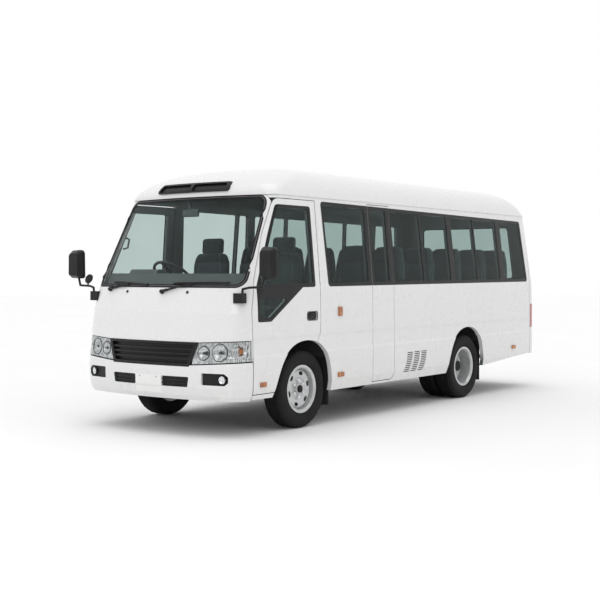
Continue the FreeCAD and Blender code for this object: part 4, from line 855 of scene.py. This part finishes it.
def place_pad(name, mesh, place, node):
    """One stuffed piece at its seat."""
    smooth(mesh, 60.0)
    piece = put_in_scene(name, mesh)
    piece.location = place
    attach(piece, "body")
    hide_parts(node)


def make_seats():
    """Every cushion and back, the cab's with a head section of its own."""
    cushions = {"row": cushion_mesh(ROW_WIDTH), "cab": cushion_mesh(CAB_WIDTH)}
    backs = {"row": back_mesh("row"), "cab": back_mesh("cab")}
    for number, (x, y, kind) in enumerate(seat_places(), start=1):
        place_pad("cushion_%02d" % number, cushions[kind],
                  (x + CUSHION_AHEAD, y, 0.5 * (CUSHION_LOW + CUSHION_HIGH)), "seat_cushions")
        place_pad("back_%02d" % number, backs[kind], (x, y, 0.0), "seat_backs")


# Wheels: tyres with their tread, nuts, caps and valves.

# Half of a tyre's section: radius and distance off its middle, in millimetres.
TYRE_HALF = (
    (207, 71), (220, 79), (232, 84), (238, 91), (244, 97), (248, 99), (251, 98), (262, 101),
    (285, 104.5), (313, 105.5), (330, 103), (334, 104), (338, 102), (352, 96.5), (359, 91.5),
    (365, 84), (370, 76), (373, 65), (373, 56), (363, 54), (363, 47), (373, 45), (373, 22),
    (364, 20), (364, 13), (373, 11),
)
TYRE_STEPS = 120
SHOULDER = (365, 370, 373)
SHOULDER_FROM = 60
NOTCH_DEPTH = 5.0
# Kept inside the solid tyre by this much.
TREAD_ROOM = 0.1


def tyre(bm, centre):
    """One tyre: rings on the sidewall, four grooves and notched shoulder blocks."""
    section = list(TYRE_HALF) + [(radius, -offset) for radius, offset in reversed(TYRE_HALF)]
    rings = []
    for step, (c, s) in enumerate(spokes(TYRE_STEPS)):
        ring = []
        for radius, offset in section:
            notch = step % 3 == 0 and radius in SHOULDER and abs(offset) > SHOULDER_FROM
            reach = (radius - TREAD_ROOM - (NOTCH_DEPTH if notch else 0.0)) / 1000
            ring.append(bm.verts.new(
                Vector(centre) + Vector((reach * c, offset / 1000, reach * s))))
        rings.append(ring)
    join_rings(bm, rings, closed=True)


def make_tyres():
    """Single tyres at the front and twins at the rear."""
    for side, name in SIDES:
        rear = [side * (REAR_PAIR_Y + part * TWIN_SPACING / 2) for part in (-1, 1)]
        for node, body, x, places in (
            ("front_tyre_" + name, "wheel_front_" + name, FRONT_AXLE_X, [side * FRONT_WHEEL_Y]),
            ("rear_tyres_" + name, "wheel_rear_" + name, REAR_AXLE_X, rear),
        ):
            with new_piece(node + "_tread", "tyre_rubber", body, angle=28.0, replaces=node) as bm:
                for y in places:
                    tyre(bm, (x, y, AXLE_Z))


NUTS = 6
NUT_ACROSS = 0.027
NUT_LENGTH = 0.02
# Outline of each cap as radius and distance out from the wheel's disc.
FRONT_CAP = ((0.0, 0.024), (0.036, 0.024), (0.037, 0.03), (0.035, 0.036), (0.026, 0.039),
             (0.022, 0.037), (0.0, 0.038))
REAR_CAP = ((0.0, 0.11), (0.058, 0.11), (0.062, 0.113), (0.06, 0.12), (0.044, 0.124),
            (0.04, 0.121), (0.0, 0.122))
# End, axle x, distance of the disc off centre, reach of the nuts, their material, cap.
WHEEL_ENDS = (
    ("front", FRONT_AXLE_X, FRONT_WHEEL_Y + 0.04, 0.077, "chrome", FRONT_CAP),
    ("rear", REAR_AXLE_X, REAR_PAIR_Y + 0.0135, 0.088, "seat_steel", REAR_CAP),
)
# The valve's foot and tip: ahead of the axle and out from the middle of the tyre.
VALVE = ((0.186, 0.04), (0.18, 0.078))
VALVE_RADIUS = 0.0045


def hexagon(bm, centre, axis):
    """Wheel nut with a chamfered outer face and a stud's end."""
    half, length = NUT_ACROSS / sqrt(3), NUT_LENGTH
    revolve(bm, ((0.0, 0.0), (half, 0.0), (half, 0.78 * length), (0.82 * half, length),
                 (0.0, length)), 6, centre, axis)
    revolve(bm, ((0.0, length), (0.4 * half, length), (0.4 * half, 1.35 * length),
                 (0.32 * half, 1.42 * length), (0.0, 1.42 * length)), 10, centre, axis)


def make_wheel_details():
    """Nuts, plain centre caps and valves of the wheels."""
    for side, name in SIDES:
        axis = (0, side, 0)
        for end, x, disc_y, nut_reach, material, cap in WHEEL_ENDS:
            body = "wheel_%s_%s" % (end, name)
            with new_piece("%s_nuts_%s" % (end, name), material, body, "rim_silver") as bm:
                for c, s in spokes(NUTS, 0.5):
                    hexagon(bm, (x + nut_reach * c, side * disc_y, AXLE_Z + nut_reach * s), axis)
            turned_piece("%s_cap_%s" % (end, name), cap, 40, (x, side * disc_y, AXLE_Z), axis,
                         "seal_rubber", body, 35.0)
        with new_piece("front_valve_" + name, "chrome", "wheel_front_" + name) as bm:
            tube(bm, [(FRONT_AXLE_X + ahead, side * (FRONT_WHEEL_Y + out), AXLE_Z)
                      for ahead, out in VALVE], VALVE_RADIUS)


# Front: lamps, plate, seals, wipers and small fittings.

LAMP_CORNERS = ((0.57, 0.857), (0.489, 0.652), (1.06, 0.691), (1.06, 0.88))
LAMP_BOWLS = ((0.622, 0.764, 0.062), (0.786, 0.772, 0.078))
LAMP_INNER_Y = 0.503
CORNER_CENTRE = (2.794, 0.78)
CORNER_RADIUS = 0.23
CORNER_START_Y = 0.829
CORNER_ANGLES = (12.6, 76.0)
LAMP_STRAIGHT = 0.58
MARKER_SHARE = 0.82
MARKER_HALF = 0.115
MARKER_HALF_HEIGHT = 0.046
BULB_SHARE = 0.85
MARKER_Z = 0.784
MIRROR_BACK = 0.0385
FOG_PLACE = (0.817, 0.53)


def lamp_look(side, share):
    """Ray towards the lamp's skin and the distance off centre that it stands for."""
    if share <= LAMP_STRAIGHT:
        y = LAMP_INNER_Y + (CORNER_START_Y - LAMP_INNER_Y) * share / LAMP_STRAIGHT
        return Vector((4.5, side * y, 0.0)), Vector((-1.0, 0.0, 0.0)), y
    part = (share - LAMP_STRAIGHT) / (1 - LAMP_STRAIGHT)
    angle = radians(CORNER_ANGLES[0] + (CORNER_ANGLES[1] - CORNER_ANGLES[0]) * part)
    spoke = Vector((cos(angle), side * sin(angle), 0.0))
    centre = Vector((CORNER_CENTRE[0], side * CORNER_CENTRE[1], 0.0))
    return centre + spoke, -spoke, CORNER_CENTRE[1] + CORNER_RADIUS * sin(angle)


def lamp_skin(tree, side, share, z):
    """Place on the lens, its outward normal and its distance along the lamp."""
    start, look, y = lamp_look(side, share)
    start.z = z
    point, normal, _, _ = tree.ray_cast(start, look)
    return point, outward(normal, look), y


def lamp_depth(y, z, share):
    """Depth of the lamp's mirror behind the lens at a place."""
    depth = 0.008
    for bowl_y, bowl_z, radius in LAMP_BOWLS:
        distance = hypot(y - bowl_y, z - bowl_z)
        if distance < radius:
            depth = 0.01 + 0.026 * sqrt(1 - (distance / radius) ** 2)
    along = (share - MARKER_SHARE) / MARKER_HALF
    across = (z - MARKER_Z) / MARKER_HALF_HEIGHT
    if hypot(along, across) < 1:
        depth = 0.01 + 0.022 * sqrt(1 - along ** 2 - across ** 2)
    return depth


def lamp_span(y):
    """Lowest and highest z of the lamp's opening at a distance off centre."""
    (y_top, z_top), (y_low, z_low), (_, z_out_low), (y_out, z_out_top) = LAMP_CORNERS
    low = z_low + (z_out_low - z_low) * (y - y_low) / (y_out - y_low)
    high = z_top + (z_out_top - z_top) * (y - y_top) / (y_out - y_top)
    if y < y_top:
        high = min(high, z_low + (z_top - z_low) * (y - y_low) / (y_top - y_low))
    return low + 0.006, high - 0.006


def mirror_sheet(bm, tree, side):
    """Lamp mirror with its round bowls, closed behind."""
    columns, rows = 84, 26
    layers = {}
    for i in range(columns + 1):
        low, high = lamp_span(lamp_look(side, i / columns)[2])
        for j in range(rows + 1):
            z = low + (high - low) * j / rows
            point, normal, y = lamp_skin(tree, side, i / columns, z)
            layers[i, j] = (bm.verts.new(point - normal * lamp_depth(y, z, i / columns)),
                            bm.verts.new(point - normal * MIRROR_BACK))
    close_sheet(bm, layers, columns, rows)


def bowl_ring(tree, side, centre, radius):
    """Path just under the lens round a bowl, kept inside the lamp's opening."""
    ring = []
    for share in even_shares(40):
        angle = 2 * pi * share
        spot = centre + Vector((0.0, side * radius * cos(angle), radius * sin(angle)))
        low, high = lamp_span(abs(spot.y))
        skin, out = on_skin(tree, AHEAD, spot.y, min(max(spot.z, low), high))
        ring.append(skin - out * 0.007)
    return ring


# Outlines as radius and distance out from the place each is turned at.
BULB_SHIELD = ((0.0, 0.0), (0.014, 0.0), (0.013, 0.008), (0.006, 0.013), (0.0, 0.014))
AMBER_BULB = ((0.0, 0.0), (0.016, 0.0), (0.021, 0.008), (0.018, 0.016), (0.0, 0.02))
FOG_BOWL = ((0.0, -0.013), (0.012, -0.012), (0.024, -0.008), (0.031, -0.003),
            (0.034, -0.002), (0.034, -0.014), (0.0, -0.0145))
FOG_RIM = ((0.034, -0.01), (0.034, 0.001), (0.0375, 0.003), (0.0405, -0.002),
           (0.0405, -0.01), (0.034, -0.01))
SHIELD_DEPTH = 0.02
BULB_DEPTH = 0.024


def make_lamps():
    """Mirrors, bulb shields, rings and amber bulbs behind the clear lenses."""
    tree = skin_tree("front_lamps")
    for side, name in SIDES:
        with new_piece("lamp_mirror_" + name, "lamp_mirror", angle=50.0) as bm:
            mirror_sheet(bm, tree, side)
        with new_piece("lamp_rings_" + name, "seat_steel", slot="rim_silver", angle=50.0) as bm:
            for y, z, radius in LAMP_BOWLS:
                point, normal = on_skin(tree, AHEAD, side * y, z)
                tube(bm, bowl_ring(tree, side, point - normal * 0.006, radius), 0.0032, 6)
                revolve(bm, BULB_SHIELD, 20, point - normal * SHIELD_DEPTH, normal)
        point, normal, _ = lamp_skin(tree, side, BULB_SHARE, MARKER_Z)
        turned_piece("lamp_bulb_" + name, AMBER_BULB, 20, point - normal * BULB_DEPTH, normal,
                     "amber_lens")
        point, normal = on_skin(tree, AHEAD, side * FOG_PLACE[0], FOG_PLACE[1])
        turned_piece("fog_mirror_" + name, FOG_BOWL, 32, point, normal, "chrome")
        turned_piece("fog_ring_" + name, FOG_RIM, 32, point, normal, "seal_rubber")


SCREEN_CORNERS = ((0.923, 1.362), (0.873, 1.974), (0.848, 2.194), (-0.848, 2.194),
                  (-0.873, 1.974), (-0.923, 1.362))
SCREEN_RADII = (0.07, 0.9, 0.088, 0.088, 0.9, 0.07)
REAR_CORNERS = ((0.69, 1.395), (0.65, 2.085), (-0.65, 2.085), (-0.69, 1.395))
REAR_RADII = (0.06,) * 4
SEALS = (
    ("screen", ("nose_panel", "windscreen", "roof_panel"), AHEAD, SCREEN_CORNERS,
     SCREEN_RADII, 0.034),
    ("rear_window", ("rear_panel", "rear_window", "roof_panel"), BEHIND, REAR_CORNERS,
     REAR_RADII, 0.03),
)
FILLER_WIDTH = 0.006


def make_seals():
    """Rubber seals of the front and rear screens, each with its filler strip."""
    for label, skins, way, corners, radii, width in SEALS:
        tree = skin_tree(*skins)
        loop = spaced(rounded_loop(corners, radii), 0.06)
        places = [on_skin(tree, way, *point) for point in loop]
        for part, material, across, proud in (
            ("seal", "seal_rubber", width, 0.003),
            ("filler", "filler_grey", FILLER_WIDTH, 0.0045),
        ):
            with new_piece("%s_%s" % (label, part), material, angle=40.0) as bm:
                ribbon(bm, places, across, proud, 0.002)


PLATE_SPAN = ((-0.163, 0.16), (0.386, 0.549))
BOLT_YS = (-0.107, 0.104)
BOLT_Z = 0.53
BOLT_LOOK_Z = 0.52
NOZZLE_YS = (-0.402, 0.37)
NOZZLE_Z = 1.305
# Each wiper's pivot, elbow and the two ends of its blade, as y and z.
WIPERS = (
    ((-0.668, 1.322), (-0.4, 1.372), ((-0.64, 1.392), (-0.13, 1.372))),
    ((0.076, 1.306), (0.42, 1.376), ((0.19, 1.384), (0.79, 1.392))),
)
ARM_RADII = (0.014, 0.011, 0.008)
PIVOT_CAP = ((0.0, -0.004), (0.021, -0.004), (0.021, 0.02), (0.016, 0.03), (0.0, 0.032))


def make_front_fittings():
    """Blank plate with its bolts, washer nozzles and heavier wiper parts."""
    tree = skin_tree("front_bumper")
    with new_piece("front_plate", "plate_white") as bm:
        skin_patch(bm, tree, AHEAD, PLATE_SPAN, 0.0009, 0.0005, 12, 4)
    with new_piece("plate_bolts", "seat_steel") as bm:
        for y in BOLT_YS:
            point, normal = on_skin(tree, AHEAD, y, BOLT_LOOK_Z)
            disc(bm, (Vector((point.x, y, BOLT_Z)), normal), 0.0065, 0.0012, 0.0006)
    tree = skin_tree("nose_panel")
    with new_piece("washer_nozzles", "black_trim") as bm:
        for y in NOZZLE_YS:
            disc(bm, on_skin(tree, AHEAD, y, NOZZLE_Z), 0.013, 0.008)
    tree = skin_tree("nose_panel", "windscreen")
    with new_piece("wiper_parts", "black_trim", angle=40.0) as bm:
        for pivot, elbow, tips in WIPERS:
            revolve(bm, PIVOT_CAP, 24, *on_skin(tree, AHEAD, *pivot))
            arm = skin_line(tree, AHEAD, pivot, elbow, (0, 0.2, 0.5, 1))
            for (spot, out), (after, out_after), radius in zip(arm, arm[1:], ARM_RADII):
                tube(bm, (spot + out * 0.022, after + out_after * 0.024), radius, 8)
            blade = skin_line(tree, AHEAD, *tips, even_shares(5))
            ribbon(bm, blade, 0.007, 0.019, -0.003, closed=False)


# Sides: handles, lamps, vent and door trims.

HANDLE_X = (1.848, 2.005)
HANDLE_Z = (1.035, 1.108)
HANDLE_ROOM = 0.004
DOOR_LAMP_SPAN = ((2.644, 2.73), (0.453, 0.497))
VENT_COLUMNS = ((0.182, 0.066), (0.034, -0.082), (-0.114, -0.23))
VENT_ROWS = 11
VENT_HEAD_Z = 0.617
VENT_PITCH = 0.02
VENT_LEAN = 0.076


def door_handle(bm, tree, way, side):
    """Rim, bar and dark back of a door handle in its pocket."""
    (x0, x1), (z0, z1) = HANDLE_X, HANDLE_Z
    room = HANDLE_ROOM
    outline = ((x0 - room, z0 - room), (x1 + room, z0 - room), (x1 + room, z1 + room),
               (x0 - room, z1 + room))
    loop = spaced(rounded_loop(outline, (0.02,) * 4), 0.04)
    ribbon(bm, [on_skin(tree, way, *point) for point in loop], 0.008, 0.0025, 0.001)
    middle_z = 0.5 * (z0 + z1)
    skin, _ = on_skin(tree, way, x0 - 0.02, middle_z)
    y = skin.y - side * 0.006
    foot_y = y - side * 0.012
    tube(bm, ((x0 + 0.006, foot_y, 1.082), (x0 + 0.022, y, 1.084),
              (x1 - 0.022, y, 1.084), (x1 - 0.006, foot_y, 1.082)), 0.0105)
    block(bm, (0.5 * (x0 + x1), skin.y - side * 0.019, middle_z),
          (x1 - x0 - room, 0.018, z1 - z0 - room), bevel=0.004)


def make_side_fittings():
    """Door handles in their pockets, amber door lamps and the vent's dark slots."""
    for side, name in SIDES:
        way = FROM_LEFT if side > 0 else FROM_RIGHT
        tree = skin_tree("front_door_" + name)
        with new_piece("door_handle_" + name, "black_trim", "door_" + name, angle=40.0) as bm:
            door_handle(bm, tree, way, side)
        with new_piece("door_lamp_" + name, "amber_lens", "door_" + name, angle=40.0) as bm:
            skin_patch(bm, tree, way, DOOR_LAMP_SPAN, 0.012, 0.001, 4, 2)
            bmesh.ops.bevel(bm, geom=list(bm.edges), offset=0.0012, segments=1, affect="EDGES")
    tree = skin_tree("side_wall_left")
    with new_piece("vent_shade", "seal_rubber") as bm:
        for number in range(VENT_ROWS):
            shift = VENT_LEAN * (number / (VENT_ROWS - 1)) ** 2
            z = VENT_HEAD_Z - number * VENT_PITCH
            for front, rear in VENT_COLUMNS:
                skin, _ = on_skin(tree, FROM_LEFT, rear + shift - 0.012, z)
                block(bm, (0.5 * (front + rear) + shift, skin.y - 0.02, z),
                      (front - rear - 0.0005, 0.018, 0.0096))


SWAGE_Z = 0.883
SWAGES = (
    ("side_wall_left", "body", FROM_LEFT, ((-2.88, 0.436), (0.88, 1.798))),
    ("exit_door", "exit_door", FROM_LEFT, ((0.456, 0.86),)),
    ("front_door_left", "door_left", FROM_LEFT, ((1.822, 2.812),)),
    ("side_wall_right", "body", FROM_RIGHT, ((-2.88, 1.798),)),
    ("front_door_right", "door_right", FROM_RIGHT, ((1.822, 2.812),)),
)


def make_swages():
    """Shallow pressed line along each side below the handles."""
    for node, body, way, stretches in SWAGES:
        tree = skin_tree(node)
        with new_piece(node + "_swage", "white_paint", body) as bm:
            for x0, x1 in stretches:
                shares = even_shares(max(2, ceil((x1 - x0) / 0.15)))
                line = skin_line(tree, way, (x0, SWAGE_Z), (x1, SWAGE_Z), shares)
                ribbon(bm, line, 0.007, 0.0022, 0.001, closed=False)


# Rear lamps and mirrors.

# Section of the rear lamp, its material and its span of z.
REAR_LAMP_PARTS = (("amber", "amber_lens", (1.004, 1.068)),
                   ("clear", "clear_lens", (0.785, 0.846)))
REAR_LAMP_SPAN = (0.886, 0.985)
REAR_LAMP_BARS_Z = (0.85, 1.0)
MIRROR_GLASS = ((1.15, 1.438), (1.155, 1.7), (1.3, 1.692), (1.304, 1.446))
MIRROR_RADII = (0.02, 0.03, 0.03, 0.02)
MIRROR_GLASS_X = (2.8465, 2.85)
KERB_DOME = ((0.0, 0.0), (0.046, 0.0), (0.05, 0.004), (0.047, 0.014), (0.03, 0.024),
             (0.0, 0.029))


def make_rear_lamp_parts():
    """Amber and clear sections of each rear lamp and the dark lines beside them."""
    tree = skin_tree("rear_lamps")
    for side, name in SIDES:
        span = tuple(sorted(side * y for y in REAR_LAMP_SPAN))
        for label, material, heights in REAR_LAMP_PARTS:
            with new_piece("rear_lamp_%s_%s" % (label, name), material) as bm:
                skin_patch(bm, tree, BEHIND, (span, heights), 0.002, 0.001, 6, 3)
        with new_piece("rear_lamp_bars_" + name, "seal_rubber") as bm:
            for z in REAR_LAMP_BARS_Z:
                line = skin_line(tree, BEHIND, (span[0], z), (span[1], z), even_shares(6))
                ribbon(bm, line, 0.005, 0.0028, 0.001, closed=False)


def make_mirror_parts():
    """Glass of the door mirrors and the round kerb mirror on the driver's side."""
    for side, name in SIDES:
        loop = rounded_loop(MIRROR_GLASS, MIRROR_RADII)
        with new_piece("mirror_glass_" + name, "chrome") as bm:
            front, back = [[bm.verts.new((x, side * y, z)) for y, z in loop]
                           for x in MIRROR_GLASS_X]
            bm.faces.new(front)
            bm.faces.new(back[::-1])
            bridge(bm, front, back)
    with new_piece("kerb_mirror", "black_trim", angle=40.0) as bm:
        revolve(bm, KERB_DOME, 32, (2.882, -1.041, 1.42), (0.92, 0.0, 0.38))
        tube(bm, ((2.893, -1.052, 1.355), (2.893, -1.048, 1.385), (2.896, -1.042, 1.41)), 0.008)


# Cabin fittings seen through the glass.

def make_cabin_fittings():
    """Interior mirror on its stalk, and a grab handle on the driver's screen pillar."""
    with new_piece("inner_mirror", "dash_plastic") as bm:
        block(bm, (2.43, -0.093, 2.066), (0.03, 0.205, 0.078), bevel=0.012)
        tube(bm, ((2.436, -0.093, 2.09), (2.452, -0.093, 2.15), (2.47, -0.093, 2.172)), 0.008)
        tube(bm, ((2.548, -0.908, 1.722), (2.522, -0.868, 1.736), (2.505, -0.864, 1.82),
                  (2.512, -0.905, 1.836)), 0.01)


make_seats()
make_tyres()
make_wheel_details()
make_lamps()
make_seals()
make_front_fittings()
make_side_fittings()
make_swages()
make_rear_lamp_parts()
make_mirror_parts()
make_cabin_fittings()
